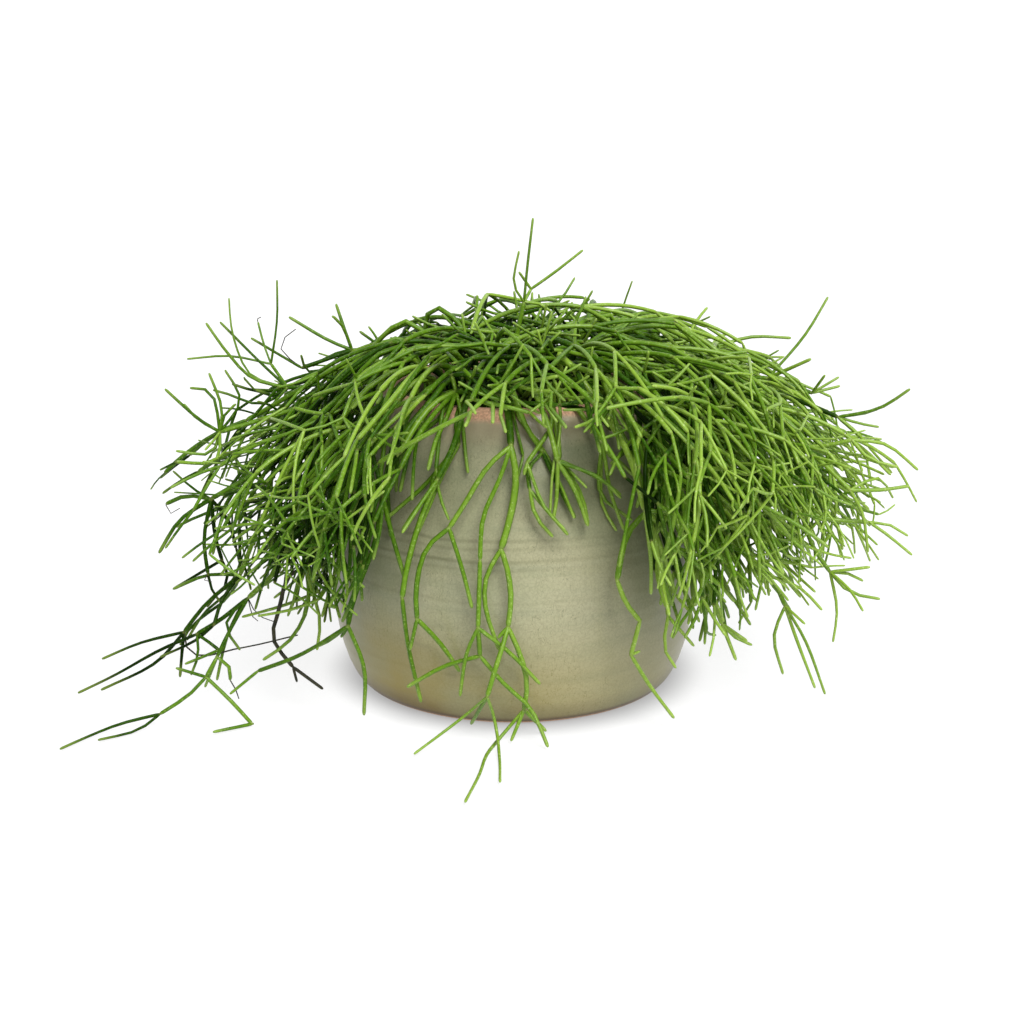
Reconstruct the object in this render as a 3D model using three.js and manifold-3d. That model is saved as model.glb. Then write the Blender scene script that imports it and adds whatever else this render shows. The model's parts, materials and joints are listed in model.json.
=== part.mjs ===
import * as THREE from 'three';
import { mergeVertices } from 'three/addons/utils/BufferGeometryUtils.js';
import Module from 'manifold-3d';

// A trailing rhipsalis in a rounded glazed pot. Millimetres, +Z up, the viewer stands on the -Y side.
// The origin is the middle of the pot's flat foot.

// Pot
const POT_HEIGHT = 163;
const BELLY_RADIUS = 101;
const BELLY_Z = 56;
const FOOT_RADIUS = 86;
const FOOT_EDGE = 3;
const FOOT_FULLNESS = 0.55;
const RIM_RADIUS = 71.5;
const LIP_ROUNDING = 2.4;
const WALL = 7;
const FLOOR_THICKNESS = 10;
const POT_SIDES = 36;
const WALL_HEIGHTS = [10, 28, BELLY_Z, 80, 104, 126, 145];
const CAVITY_HEIGHTS = [28, BELLY_Z, 92, 126];
const LIP_ANGLES = [0, 45, 90];

// Soil
const SOIL_Z = 150;
const SOIL_EDGE_DROP = 3;
const SOIL_EDGE_GAP = 1.2;
const SOIL_LEVEL_RADIUS = 54;
const ROOT_DEPTH = 12;
const ROOT_FIELD_RADIUS = 50;
const HOLE_SIDES = 4;
const SEAT_GAP = 0.35;

// Stems
const SPRAY_COUNT = 56;
const MAIN_STEM = 1.9;
const LIMB = 1.7;
const BRANCH = 1.5;
const TWIG = 1.3;
const TIP = 1.1;
const STEP = 24;
const STEM_SIDES = 3;
const COLLAR = 3;
const JOINT_OVERLAP = 1.5;
const JOINT_PINCH = 0.3;
const STRAIGHT_ENOUGH = 0.3;

// Room that a stem keeps to the other sprays' stems, the pot and the floor. It is tested at points
// SAMPLE apart, which are held in cubes of CELL; nothing further off than FREE is told apart.
const STEM_GAP = 0.35;
const POT_GAP = 1.1;
const FLOOR_GAP = 0.5;
const JOINT_REACH = 7;
const SAMPLE = 2;
const CELL = 6;
const FREE = 9;

// The mass of stems: its top over the axis and how that falls away outward, its reach and how far
// less it reaches in front, its underside, and the opening in front of the pot
const MASS_TOP = 201;
const MASS_TOP_FALL = 12;
const MASS_TOP_POWER = 2.65;
const MASS_TOP_SLACK = 5;
const MASS_LEFT_DROP = 22;
const MASS_LEFT_FROM = 20;
const MASS_LEFT_OVER = 75;
const MASS_REACH = 196;
const MASS_WIDENING = 8;
const MASS_RIGHTWARD = 5;
const MASS_FRONT_LOSS = 46;
const MASS_FOOT_SHARE = 0.7;
const MASS_FOOT_Z = 36;
const MASS_FULL_Z = 98;
const UNDERSIDE_Z = 44;
const UNDERSIDE_WAVE = 7;
const UNDERSIDE_LOBES = 3;
const UNDERSIDE_RADIUS = 75;
const OPENING_X = -8;
const OPENING_Y = -45;
const OPENING_TOP = 170;
const OPENING_HALF_WIDTH = 42;
const OPENING_SPREAD = 0.22;
const FLOW_LEVEL = 0.05;
const FLOW_SUNK = 0.85;
const FLOW_SUNK_DEPTH = 90;
const FLOW_OUTER = 0.35;
const FLOW_OUTER_RADIUS = 200;

// How traced, crown and arching sprays are tried. Each pair is the least and the most of a draw.
const TRACED = {
  tries: 40, fullSwing: 10, near: [-14, 14], far: [-12, 12], sideFar: [-14, 14], lift: [-6, 16],
  turn: [-0.2, 0.2], crossing: 62, slack: 0.8, joint: 8,
};
const CROWN = {
  count: 9, tries: 40, inner: 12, spread: 20, spacing: 0.37, turn: [-0.5, 0.5], lean: [6, 24],
  height: [176, 192], under: 4, branches: 4, branchReach: 120, twigs: 2, twigReach: 150,
};
const ARCHING = {
  tries: 400, falls: 8, spacing: 0.61803, clearFront: 26, rootRadius: 34, swing: 0.16, moreSwing: 0.9,
  rim: [50, 68], lift: [5, 15], shellLift: 20, level: 0.1, swerve: [-0.25, 0.25], leastRadius: 86,
  share: 0.5, shellShare: 0.26, shareSlack: [-8, 8], under: 4, depth: [10, 66], plunge: 0.9,
  rimBranches: 3, rimTwigs: 2, rimShortfall: 30, limbBranches: 3, limbTwigs: 4,
};

// Whorls: length, angle from the parent, pull of the mass's flow, droop over 40 mm, radius, tries
const WHORL_ROLL = [-0.6, 0.6];
const WHORL_REACH = [0.84, 1];
const DROOP_LENGTH = 40;
const LONG_STEM = 30;
const CROWN_BRANCH = {
  size: [40, 62], angle: [0.25, 1.35], pull: 0.35, droop: 0.5, radius: BRANCH, tries: 16,
};
const CROWN_TWIG = { size: [28, 50], angle: [0.25, 0.8], pull: 0.4, droop: 0.4, radius: TWIG, tries: 12 };
const RIM_BRANCH = { size: [40, 70], angle: [0.25, 1.0], pull: 0.5, droop: 0.5, radius: BRANCH, tries: 16 };
const RIM_TWIG = { size: [28, 48], angle: [0.25, 0.9], pull: 0.5, droop: 0.4, radius: TWIG, tries: 10 };
const LIMB_BRANCH = { size: [40, 66], angle: [0.25, 0.8], pull: 0.5, droop: 0.5, radius: BRANCH, tries: 16 };
const LIMB_TWIG = { size: [26, 48], angle: [0.25, 1.0], pull: 0.5, droop: 0.4, radius: TWIG, tries: 10 };
const CROWN_TIP = { size: [22, 30], angle: [0.3, 1.1], pull: 0.1, droop: 0.3, radius: TIP, tries: 10 };
const OUTER_TIP = { size: [20, 30], angle: [0.1, 0.7], pull: 0.25, droop: 0.3, radius: TIP, tries: 8 };

// Last stems at the free ends that lie between two distances from the axis and above a height. further
// is how much further than the mass they may reach.
const CROWN_TIPS = { nearest: 0, furthest: 112, lowest: 156, further: -60, form: CROWN_TIP };
const OUTER_TIPS = { nearest: 90, furthest: 400, lowest: 48, further: 16, form: OUTER_TIP };

// The photograph's view, through which the stems that stand out in it are read
const VIEW_DISTANCE = 850;
const VIEW_HEIGHT = 332;
const AIM_HEIGHT = 89.4;
const AXIS_OFFSET = -1.3;
const FOCAL_PIXELS = 1588;
const CENTRE_PIXEL = 512;
const LYING_Z = 2.2;

// Draws
const SEED = 4107;
const TRACED_SEED = { first: 0, each: 97 };
const CROWN_SEED = { first: 303, each: 131 };
const ARCHING_SEED = { first: 5003, each: 131 };
const CROWN_TIP_SEED = { first: 20011, each: 17 };
const OUTER_TIP_SEED = { first: 40009, each: 17 };

const UP = new THREE.Vector3(0, 0, 1);
const GOLDEN_TURN = 2.399963;
const FULL_TURN = 2 * Math.PI;

const glaze = new THREE.MeshStandardMaterial({ color: 0xa9a685, roughness: 0.35, metalness: 0 });
const earth = new THREE.MeshStandardMaterial({ color: 0x2e241b, roughness: 0.95, metalness: 0 });
const greens = [0x5f9a35, 0x4c8630, 0x6ea63c, 0x3f7429].map(
  (color) => new THREE.MeshStandardMaterial({ color, roughness: 0.45, metalness: 0 }));

// Stems that the photograph shows apart from the mass.
// A stem is [parent, toward, radius, x, y, x, y, ...]: the stem it grows from (-1 is the soil), how far
// toward the viewer it ends in mm, its radius in mm, and the photograph's pixels that it passes.
// root is where it leaves the soil, lift its height over the rim, and near how far toward the viewer
// its first pixel lies.
const TRACED_SPRAYS = {
  front_middle: { root: [-6, -44], lift: 8, near: 60, stems: [
    [-1, 88, 2.0, 499, 391, 508, 412, 511, 446],
    [0, 102, 2.0, 516, 478, 509, 522, 501, 549],
    [1, 108, 1.6, 507, 568, 511, 598, 508, 627],
    [1, 108, 1.5, 486, 578, 485, 605, 499, 650],
    [2, 110, 1.3, 498, 638],
    [2, 110, 1.5, 503, 645, 496, 667, 487, 697],
    [2, 108, 1.5, 519, 652, 527, 682, 524, 710],
    [5, 100, 1.1, 462, 718, 414, 754],
    [5, 100, 1.2, 471, 724],
    [5, 100, 1.2, 495, 722, 500, 782],
    [6, 100, 1.3, 499, 739, 480, 773, 465, 802],
    [6, 100, 1.3, 511, 741],
    [6, 100, 1.3, 546, 731],
    [0, 104, 1.4, 500, 478, 483, 518, 480, 560],
    [13, 108, 1.4, 479, 600, 478, 628],
    [14, 108, 1.3, 467, 652, 460, 696],
    [14, 108, 1.3, 510, 653, 540, 684],
    [14, 107, 1.4, 479, 642, 480, 656],
    [17, 104, 1.4, 445, 666, 407, 687],
    [17, 100, 1.4, 505, 685, 530, 708, 548, 747],
    [0, 100, 1.5, 490, 464, 464, 505, 449, 528],
    [20, 106, 1.5, 427, 548, 416, 590, 417, 619],
    [20, 107, 1.4, 463, 572, 472, 608],
    [21, 106, 1.5, 440, 643, 460, 671],
    [21, 106, 1.3, 410, 650],
  ] },
  front_left_dark: { root: [-22, -36], lift: 10, near: 74, stems: [
    [-1, 92, 1.8, 466, 405, 452, 450, 437, 480],
    [0, 104, 1.7, 422, 515, 406, 572, 402, 598],
    [0, 100, 1.3, 420, 505, 402, 533],
    [1, 103, 1.4, 408, 645, 421, 702],
  ] },
  front_left_bright: { root: [-34, -38], lift: 12, near: 66, stems: [
    [-1, 92, 2.0, 432, 400, 402, 438, 383, 498],
    [0, 98, 1.5, 392, 535, 406, 582],
    [0, 98, 1.5, 374, 545, 352, 605, 348, 626],
    [2, 90, 1.4, 364, 668, 364, 715],
    [2, 80, 1.4, 300, 655, 258, 671],
    [4, 84, 1.2, 230, 694],
    [0, 98, 1.3, 380, 530, 373, 560],
  ] },
  left_trail: { root: [-40, -22], lift: 14, near: 50, stems: [
    [-1, 62, 1.9, 352, 405, 300, 510, 270, 578, 248, 598],
    [0, 66, 1.6, 220, 620, 197, 634],
    [1, 80, 1.2, 160, 650, 115, 675, 78, 693],
    [1, 70, 1.3, 206, 640, 219, 650],
    [0, 72, 1.5, 230, 630, 217, 657],
    [4, 80, 1.4, 206, 677],
    [5, 90, 1.4, 190, 694, 160, 714],
    [6, 100, 1.2, 120, 724, 60, 749],
    [6, 100, 1.2, 140, 729, 98, 740],
    [5, 84, 1.4, 230, 700, 252, 724],
    [9, 90, 1.4, 213, 732],
    [5, 84, 1.3, 176, 668],
    [4, 78, 1.3, 230, 668, 230, 680],
  ] },
  left_trail_back: { root: [-44, -12], lift: 18, near: 30, stems: [
    [-1, 50, 1.8, 330, 410, 262, 520, 240, 575],
    [0, 52, 1.5, 205, 605, 184, 632],
    [1, 60, 1.2, 140, 643, 102, 659],
    [1, 58, 1.3, 182, 652, 180, 677],
    [1, 66, 1.3, 158, 661, 101, 690],
    [0, 56, 1.4, 222, 600, 214, 625],
    [0, 40, 1.4, 208, 575, 173, 589],
  ] },
  left_fan: { root: [-46, -2], lift: 22, near: 20, stems: [
    [-1, 40, 1.8, 320, 425, 260, 470, 211, 499],
    [0, 44, 1.5, 185, 496, 166, 504],
    [0, 48, 1.6, 180, 520, 159, 553],
    [0, 52, 1.4, 204, 540, 208, 574],
    [0, 46, 1.4, 216, 540, 222, 560],
    [0, 30, 1.1, 195, 490, 173, 471],
    [0, 30, 1.4, 228, 520, 236, 548],
  ] },
  left_edge: { root: [-44, 8], lift: 24, near: 0, stems: [
    [-1, 10, 1.8, 315, 400, 260, 420, 220, 432],
    [0, 14, 1.3, 200, 420, 165, 389],
    [0, 6, 1.2, 222, 410, 209, 373],
    [0, 20, 1.4, 212, 452, 176, 451],
    [0, 26, 1.4, 216, 460, 176, 462],
    [0, 2, 1.1, 240, 400, 225, 370],
    [0, 0, 1.3, 210, 392, 190, 388],
  ] },
  left_top: { root: [-36, 22], lift: 30, near: -30, stems: [
    [-1, -30, 1.7, 360, 362, 320, 372, 288, 388],
    [0, -34, 1.2, 262, 364, 220, 322],
    [0, -20, 1.3, 252, 378, 206, 323],
    [0, -40, 1.3, 271, 364],
    [3, -44, 0.9, 277, 320, 277, 280],
    [3, -36, 1.0, 230, 356, 187, 359],
    [3, -48, 0.9, 264, 345, 258, 322],
    [0, -20, 0.9, 250, 374, 238, 352, 231, 325, 229, 298],
  ] },
  left_top_far: { root: [-20, 30], lift: 34, near: -50, stems: [
    [-1, -60, 1.7, 420, 340, 380, 352, 352, 350],
    [0, -64, 1.4, 330, 341, 289, 317],
    [0, -70, 1.4, 343, 325, 336, 304],
    [0, -50, 1.5, 302, 368],
    [3, -44, 1.2, 251, 338],
    [0, -56, 1.2, 340, 322, 332, 316],
  ] },
  top_shoots: { root: [4, 4], lift: 0, near: 0, stems: [
    [-1, 0, 1.6, 516, 345, 524, 302],
    [0, 6, 1.0, 527, 270, 533, 218],
    [0, -8, 1.0, 531, 289],
    [2, -12, 1.0, 555, 272, 583, 250],
    [2, 6, 1.1, 519, 272],
    [0, 10, 0.9, 514, 285, 519, 251],
    [0, -4, 1.1, 540, 304, 551, 312],
  ] },
  right_top: { root: [24, 26], lift: 32, near: -40, stems: [
    [-1, -50, 1.7, 620, 330, 660, 345, 712, 348],
    [0, -56, 1.4, 750, 337, 791, 338],
    [0, -40, 1.4, 742, 349, 771, 359],
    [0, -60, 1.2, 716, 338, 727, 334],
  ] },
  right_spike: { root: [34, 16], lift: 30, near: -10, stems: [
    [-1, 0, 1.8, 660, 362, 720, 378, 768, 378],
    [0, -14, 1.2, 805, 335, 828, 297],
    [0, 10, 1.5, 811, 359],
    [0, 4, 1.5, 812, 393],
    [3, 2, 1.1, 839, 377],
    [3, 10, 1.2, 825, 375],
    [3, 0, 1.2, 840, 386],
  ] },
  right_far: { root: [42, 8], lift: 26, near: 0, stems: [
    [-1, 20, 1.8, 690, 372, 770, 390, 838, 417],
    [0, 26, 1.3, 880, 408, 910, 389],
    [0, 20, 1.1, 862, 424, 879, 427],
    [0, 34, 1.4, 862, 438, 868, 446],
    [3, 30, 1.1, 892, 473],
    [0, 10, 1.1, 870, 412, 901, 396],
  ] },
  right_reach: { root: [46, -2], lift: 22, near: 20, stems: [
    [-1, 40, 2.0, 690, 385, 740, 420, 774, 443],
    [0, 50, 1.6, 815, 447, 852, 440],
    [1, 50, 1.3, 885, 444, 918, 470],
    [1, 56, 1.4, 868, 458, 897, 467],
    [0, 60, 1.7, 808, 452, 850, 490],
    [4, 66, 1.5, 880, 490, 909, 486],
    [4, 60, 1.1, 878, 478, 893, 498],
    [4, 66, 1.3, 862, 512, 868, 552],
  ] },
  right_low: { root: [44, -12], lift: 18, near: 34, stems: [
    [-1, 60, 1.9, 680, 400, 740, 460, 800, 510],
    [0, 66, 1.6, 835, 520, 869, 522],
    [1, 70, 1.1, 890, 525, 908, 536],
    [1, 74, 1.2, 885, 533, 912, 555],
    [0, 70, 1.5, 812, 545, 830, 572],
    [4, 80, 1.3, 850, 592, 880, 599],
    [4, 74, 1.3, 870, 567],
    [4, 80, 1.2, 850, 590, 863, 611],
    [4, 72, 1.2, 837, 610, 833, 642],
    [4, 70, 1.2, 850, 574, 863, 581],
  ] },
  right_drop: { root: [40, -22], lift: 14, near: 44, stems: [
    [-1, 70, 1.8, 660, 410, 720, 500, 757, 572],
    [0, 74, 1.5, 775, 585, 785, 606],
    [1, 78, 1.3, 795, 635, 815, 688],
    [1, 78, 1.3, 805, 640, 825, 694],
    [1, 70, 1.3, 774, 636, 783, 674],
    [1, 84, 1.2, 805, 624],
    [0, 80, 1.3, 800, 588, 822, 610],
  ] },
  right_front_drop: { root: [30, -34], lift: 12, near: 56, stems: [
    [-1, 84, 1.9, 632, 420, 670, 500, 700, 580],
    [0, 82, 1.5, 712, 600, 722, 624],
    [1, 80, 1.4, 736, 660],
    [1, 76, 1.3, 747, 641],
    [1, 84, 1.2, 736, 638, 752, 645],
    [0, 78, 1.3, 722, 600, 729, 618],
  ] },
  right_front: { root: [20, -40], lift: 10, near: 60, stems: [
    [-1, 96, 2.0, 597, 396, 625, 442, 640, 480, 646, 512],
    [0, 106, 1.9, 628, 533, 617, 580],
    [1, 104, 1.5, 626, 603, 640, 621],
    [2, 104, 1.5, 631, 655],
    [3, 96, 1.4, 650, 686, 674, 718],
    [3, 104, 1.1, 640, 651],
    [0, 100, 1.3, 672, 520, 695, 533],
    [0, 104, 1.3, 664, 532, 674, 548],
    [0, 100, 1.6, 660, 545, 668, 590, 668, 616],
    [8, 96, 1.2, 694, 646],
    [8, 100, 1.2, 665, 650, 676, 668],
    [0, 104, 1.4, 657, 560],
  ] },
  front_right_short: { root: [8, -42], lift: 8, near: 75, stems: [
    [-1, 90, 1.6, 536, 396, 548, 425, 558, 462],
    [0, 96, 1.5, 575, 490, 588, 526],
    [0, 94, 1.2, 600, 478, 621, 498],
    [0, 96, 1.3, 556, 505, 553, 520],
  ] },
  front_right_fine: { root: [0, -34], lift: 6, near: 75, stems: [
    [-1, 86, 1.4, 516, 400, 528, 430, 541, 450],
    [0, 92, 1.4, 558, 485, 575, 518],
    [0, 96, 1.2, 528, 470, 530, 490],
    [2, 100, 1.2, 535, 515, 553, 537],
    [2, 98, 1.2, 545, 508, 568, 535],
  ] },
};

// Seeded draws

class Draws {
  constructor({ first, each }, spray) {
    this.state = (SEED + first + each * spray) | 0;
  }

  next() {
    this.state = (this.state + 0x6d2b79f5) | 0;
    let t = Math.imul(this.state ^ (this.state >>> 15), this.state | 1);
    t ^= t + Math.imul(t ^ (t >>> 7), t | 61);
    return ((t ^ (t >>> 14)) >>> 0) / 4294967296;
  }

  between(low, high) {
    return low + (high - low) * this.next();
  }
}

// Shapes of the pot and of the room round it

function potRadius(z) {
  if (z < BELLY_Z) {
    const rise = Math.sin((Math.PI / 2) * Math.max(z, 0) / BELLY_Z) ** FOOT_FULLNESS;
    return FOOT_RADIUS + (BELLY_RADIUS - FOOT_RADIUS) * rise;
  }
  const up = (Math.min(z, POT_HEIGHT) - BELLY_Z) / (POT_HEIGHT - BELLY_Z);
  return RIM_RADIUS + (BELLY_RADIUS - RIM_RADIUS) * Math.cos((Math.PI / 2) * up);
}

function fromAxis(p) {
  return Math.hypot(p.x, p.y);
}

// True where a stem would touch the floor, the pot's wall or the soil.
function isBlocked(p, margin) {
  const rho = fromAxis(p);
  if (p.z < margin - POT_GAP + FLOOR_GAP) return true;
  if (p.z > POT_HEIGHT + margin) return false;
  if (rho < RIM_RADIUS - WALL - margin) return p.z < SOIL_Z + margin;
  return rho < potRadius(p.z) + margin;
}

// A stem's point moved straight out of the pot's wall and up off the floor.
function pushedClear(p, margin) {
  const z = Math.max(p.z, margin - POT_GAP + FLOOR_GAP);
  const rho = fromAxis(p);
  if (rho < RIM_RADIUS - WALL - margin || z > POT_HEIGHT + margin) return new THREE.Vector3(p.x, p.y, z);
  const needed = potRadius(z) + margin;
  if (rho >= needed) return new THREE.Vector3(p.x, p.y, z);
  return new THREE.Vector3((p.x * needed) / rho, (p.y * needed) / rho, z);
}

// The point seen at a pixel, that far toward the viewer, or where its line of sight meets the floor.
function seenAt(px, py, toward) {
  const pitch = Math.atan2(VIEW_HEIGHT - AIM_HEIGHT, VIEW_DISTANCE);
  const across = (px - CENTRE_PIXEL) / FOCAL_PIXELS;
  const above = (CENTRE_PIXEL - py) / FOCAL_PIXELS;
  const ahead = Math.cos(pitch) + above * Math.sin(pitch);
  const rise = above * Math.cos(pitch) - Math.sin(pitch);
  let t = (VIEW_DISTANCE - toward) / ahead;
  if (VIEW_HEIGHT + t * rise < LYING_Z) t = (LYING_Z - VIEW_HEIGHT) / rise;
  return new THREE.Vector3(AXIS_OFFSET + across * t, t * ahead - VIEW_DISTANCE, VIEW_HEIGHT + t * rise);
}

// The mass of stems: its top, its reach, and the room in front of the pot that stays open.

function clamped(share) {
  return Math.min(1, Math.max(0, share));
}

// The height of the mass's top over or under a point: it is lower at the left.
function massTop(p) {
  const drop = MASS_LEFT_DROP * clamped((-p.x - MASS_LEFT_FROM) / MASS_LEFT_OVER);
  return MASS_TOP - MASS_TOP_FALL * (fromAxis(p) / 100) ** MASS_TOP_POWER - drop;
}

function massReach(azimuth) {
  const front = Math.max(0, -Math.sin(azimuth));
  const side = MASS_WIDENING * Math.cos(2 * azimuth) + MASS_RIGHTWARD * Math.cos(azimuth);
  return MASS_REACH + side - MASS_FRONT_LOSS * front * front;
}

function inOpening(p) {
  const half = OPENING_HALF_WIDTH + OPENING_SPREAD * (POT_HEIGHT - p.z);
  return p.y < OPENING_Y && p.z < OPENING_TOP && Math.abs(p.x - OPENING_X) < half;
}

function outsideMass(p, reach) {
  const rho = fromAxis(p);
  const height = clamped((p.z - MASS_FOOT_Z) / (MASS_FULL_Z - MASS_FOOT_Z));
  if (rho > reach * (MASS_FOOT_SHARE + (1 - MASS_FOOT_SHARE) * height)) return true;
  if (p.z > massTop(p) + MASS_TOP_SLACK || inOpening(p)) return true;
  const underside = UNDERSIDE_Z + UNDERSIDE_WAVE * Math.sin(UNDERSIDE_LOBES * Math.atan2(p.y, p.x));
  return rho > UNDERSIDE_RADIUS && p.z < underside;
}

function heading(azimuth, slope) {
  const level = Math.cos(slope);
  return new THREE.Vector3(level * Math.cos(azimuth), level * Math.sin(azimuth), -Math.sin(slope));
}

// The way the mass falls at a point: level over the crown, steeper below and further out.
function flowAt(p) {
  const rho = fromAxis(p);
  const sunk = clamped((massTop(p) - p.z) / FLOW_SUNK_DEPTH);
  const outer = (rho / FLOW_OUTER_RADIUS) ** 3;
  return heading(Math.atan2(p.y, p.x), FLOW_LEVEL + FLOW_SUNK * sunk + FLOW_OUTER * outer);
}

// Routes

function along(from, to, fraction) {
  return from.clone().lerp(to, fraction);
}

function direction(from, to) {
  return to.clone().sub(from).normalize();
}

// A point on the smooth curve from a to b that leaves along da and arrives along db.
function onCurve(a, b, da, db, t) {
  const size = a.distanceTo(b);
  return new THREE.Vector3()
    .addScaledVector(a, (1 + 2 * t) * (1 - t) * (1 - t))
    .addScaledVector(da, t * (1 - t) * (1 - t) * size)
    .addScaledVector(b, t * t * (3 - 2 * t))
    .addScaledVector(db, t * t * (t - 1) * size);
}

function smoothRoute(points, first, last) {
  const end = points.length - 1;
  const ways = points.map((p, i) => {
    if (i === 0) return first ?? direction(p, points[1]);
    if (i === end) return last ?? direction(points[i - 1], p);
    return direction(points[i - 1], p).add(direction(p, points[i + 1])).normalize();
  });
  const route = [points[0]];
  for (let i = 0; i < end; i += 1) {
    const steps = Math.max(1, Math.floor(points[i].distanceTo(points[i + 1]) / STEP + 0.5));
    for (let j = 1; j <= steps; j += 1) {
      route.push(onCurve(points[i], points[i + 1], ways[i], ways[i + 1], j / steps));
    }
  }
  return route;
}

function samplesOf(route) {
  const out = [];
  for (let i = 0; i < route.length - 1; i += 1) {
    const steps = Math.max(1, Math.ceil(route[i].distanceTo(route[i + 1]) / SAMPLE));
    for (let j = 0; j < steps; j += 1) out.push(along(route[i], route[i + 1], j / steps));
  }
  out.push(route[route.length - 1]);
  return out;
}

function touchesPot(route, radius, skipped) {
  return samplesOf(route).some((p) => p.distanceTo(route[0]) > skipped && isBlocked(p, radius + POT_GAP));
}

// All stems grown so far, with the room that they take up

class Thicket {
  constructor() {
    this.cells = new Map();
    this.stems = [];
  }

  cellOf(p) {
    return [Math.floor(p.x / CELL), Math.floor(p.y / CELL), Math.floor(p.z / CELL)];
  }

  // Least spare room to other sprays' stems, and to its own beyond the joint; below 0 they would touch.
  spareRoom(route, radius, spray, joint) {
    let least = FREE;
    for (const p of samplesOf(route)) {
      const atJoint = p.distanceTo(route[0]) < joint;
      const [ci, cj, ck] = this.cellOf(p);
      for (let i = ci - 1; i <= ci + 1; i += 1) {
        for (let j = cj - 1; j <= cj + 1; j += 1) {
          for (let k = ck - 1; k <= ck + 1; k += 1) {
            for (const held of this.cells.get(`${i},${j},${k}`) ?? []) {
              if (held.spray === spray && atJoint) continue;
              const needed = radius + held.radius + STEM_GAP;
              const spare = p.distanceToSquared(held.p) - needed * needed - (SAMPLE * SAMPLE) / 2;
              least = Math.min(least, spare);
            }
          }
        }
      }
    }
    return least;
  }

  settle(stem) {
    this.stems.push(stem);
    for (const p of samplesOf(stem.route)) {
      const key = this.cellOf(p).join(',');
      if (!this.cells.has(key)) this.cells.set(key, []);
      this.cells.get(key).push({ p, radius: stem.radius, spray: stem.spray });
    }
    return stem;
  }
}

// Roots stand in a sunflower's pattern, so that they keep their distance.

class RootField {
  constructor() {
    this.free = [];
    for (let k = 0; k < SPRAY_COUNT; k += 1) {
      const rho = ROOT_FIELD_RADIUS * Math.sqrt((k + 0.5) / SPRAY_COUNT);
      const turn = k * GOLDEN_TURN;
      this.free.push(new THREE.Vector3(rho * Math.cos(turn), rho * Math.sin(turn), SOIL_Z));
    }
  }

  nearest(x, y) {
    const gaps = this.free.map((p) => (p.x - x) ** 2 + (p.y - y) ** 2);
    return this.free.splice(gaps.indexOf(Math.min(...gaps)), 1)[0];
  }
}

function rootRoute(root) {
  return [root.clone().setZ(SOIL_Z - ROOT_DEPTH), root.clone().setZ(SOIL_Z + COLLAR)];
}

function endDirection(stem) {
  const { route } = stem;
  return direction(route[route.length - 2], route[route.length - 1]);
}

function endOf(stem) {
  return stem.route[stem.route.length - 1];
}

// Traced sprays: each try moves the stem a little further toward or away from the viewer.

function tracedPixels(numbers) {
  const pixels = [];
  for (let i = 0; i < numbers.length; i += 2) pixels.push([numbers[i], numbers[i + 1]]);
  return pixels;
}

function tracedMainRoute(shape, root, toward, pixels, radius, swing, draws) {
  const near = shape.near + swing * draws.between(...TRACED.near);
  const far = toward + swing * draws.between(...TRACED.far);
  const rise = shape.lift + swing * draws.between(...TRACED.lift);
  const turn = swing * draws.between(...TRACED.turn);
  const seen = pixels.map(([px, py], i) => {
    return seenAt(px, py, near + ((far - near) * i) / Math.max(1, pixels.length - 1));
  });
  const start = rootRoute(root);
  if (fromAxis(seen[0]) > RIM_RADIUS) {
    const azimuth = Math.atan2(seen[0].y, seen[0].x) + turn;
    start.push(heading(azimuth, 0).multiplyScalar(TRACED.crossing).setZ(POT_HEIGHT + rise));
  }
  const route = smoothRoute([...start, ...seen], UP, undefined);
  return route.map((p, i) => (i < 2 ? p : pushedClear(p, radius + POT_GAP)));
}

function tracedSideRoute(parent, toward, pixels, radius, swing, draws) {
  const start = endOf(parent);
  const far = toward + swing * draws.between(...TRACED.sideFar);
  const seen = pixels.map(([px, py], i) => {
    const t = (i + 1) / pixels.length;
    return pushedClear(seenAt(px, py, -start.y + (far + start.y) * t), radius + POT_GAP);
  });
  const route = smoothRoute([start, ...seen], undefined, undefined);
  return route.map((p, i) => (i < 1 ? p : pushedClear(p, radius + POT_GAP)));
}

function growTraced(thicket, roots, spray, shape) {
  const draws = new Draws(TRACED_SEED, spray);
  const root = roots.nearest(...shape.root);
  const grown = [];
  for (const [parent, toward, radius, ...numbers] of shape.stems) {
    const pixels = tracedPixels(numbers);
    const main = parent < 0;
    let best;
    for (let attempt = 0; attempt < TRACED.tries; attempt += 1) {
      const swing = Math.min(1, attempt / TRACED.fullSwing);
      const route = main
        ? tracedMainRoute(shape, root, toward, pixels, radius, swing, draws)
        : tracedSideRoute(grown[parent], toward, pixels, radius, swing, draws);
      let spare = thicket.spareRoom(route, radius, spray, main ? 0 : TRACED.joint);
      if (main && touchesPot(route, radius - TRACED.slack, JOINT_REACH)) spare -= FREE;
      if (best === undefined || spare > best.spare) best = { spare, route };
      if (spare >= 0) break;
    }
    grown.push(thicket.settle({ spray, parent: grown[parent], route: best.route, radius }));
  }
}

// Free sprays: whorls of stems that leave a joint round its parent's direction

function coneDirection(axis, angle, roll) {
  const side = axis.clone().cross(new THREE.Vector3(0.1, 0.2, 1)).normalize();
  const other = axis.clone().cross(side);
  return new THREE.Vector3()
    .addScaledVector(axis, Math.cos(angle))
    .addScaledVector(side, Math.cos(roll) * Math.sin(angle))
    .addScaledVector(other, Math.sin(roll) * Math.sin(angle));
}

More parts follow.
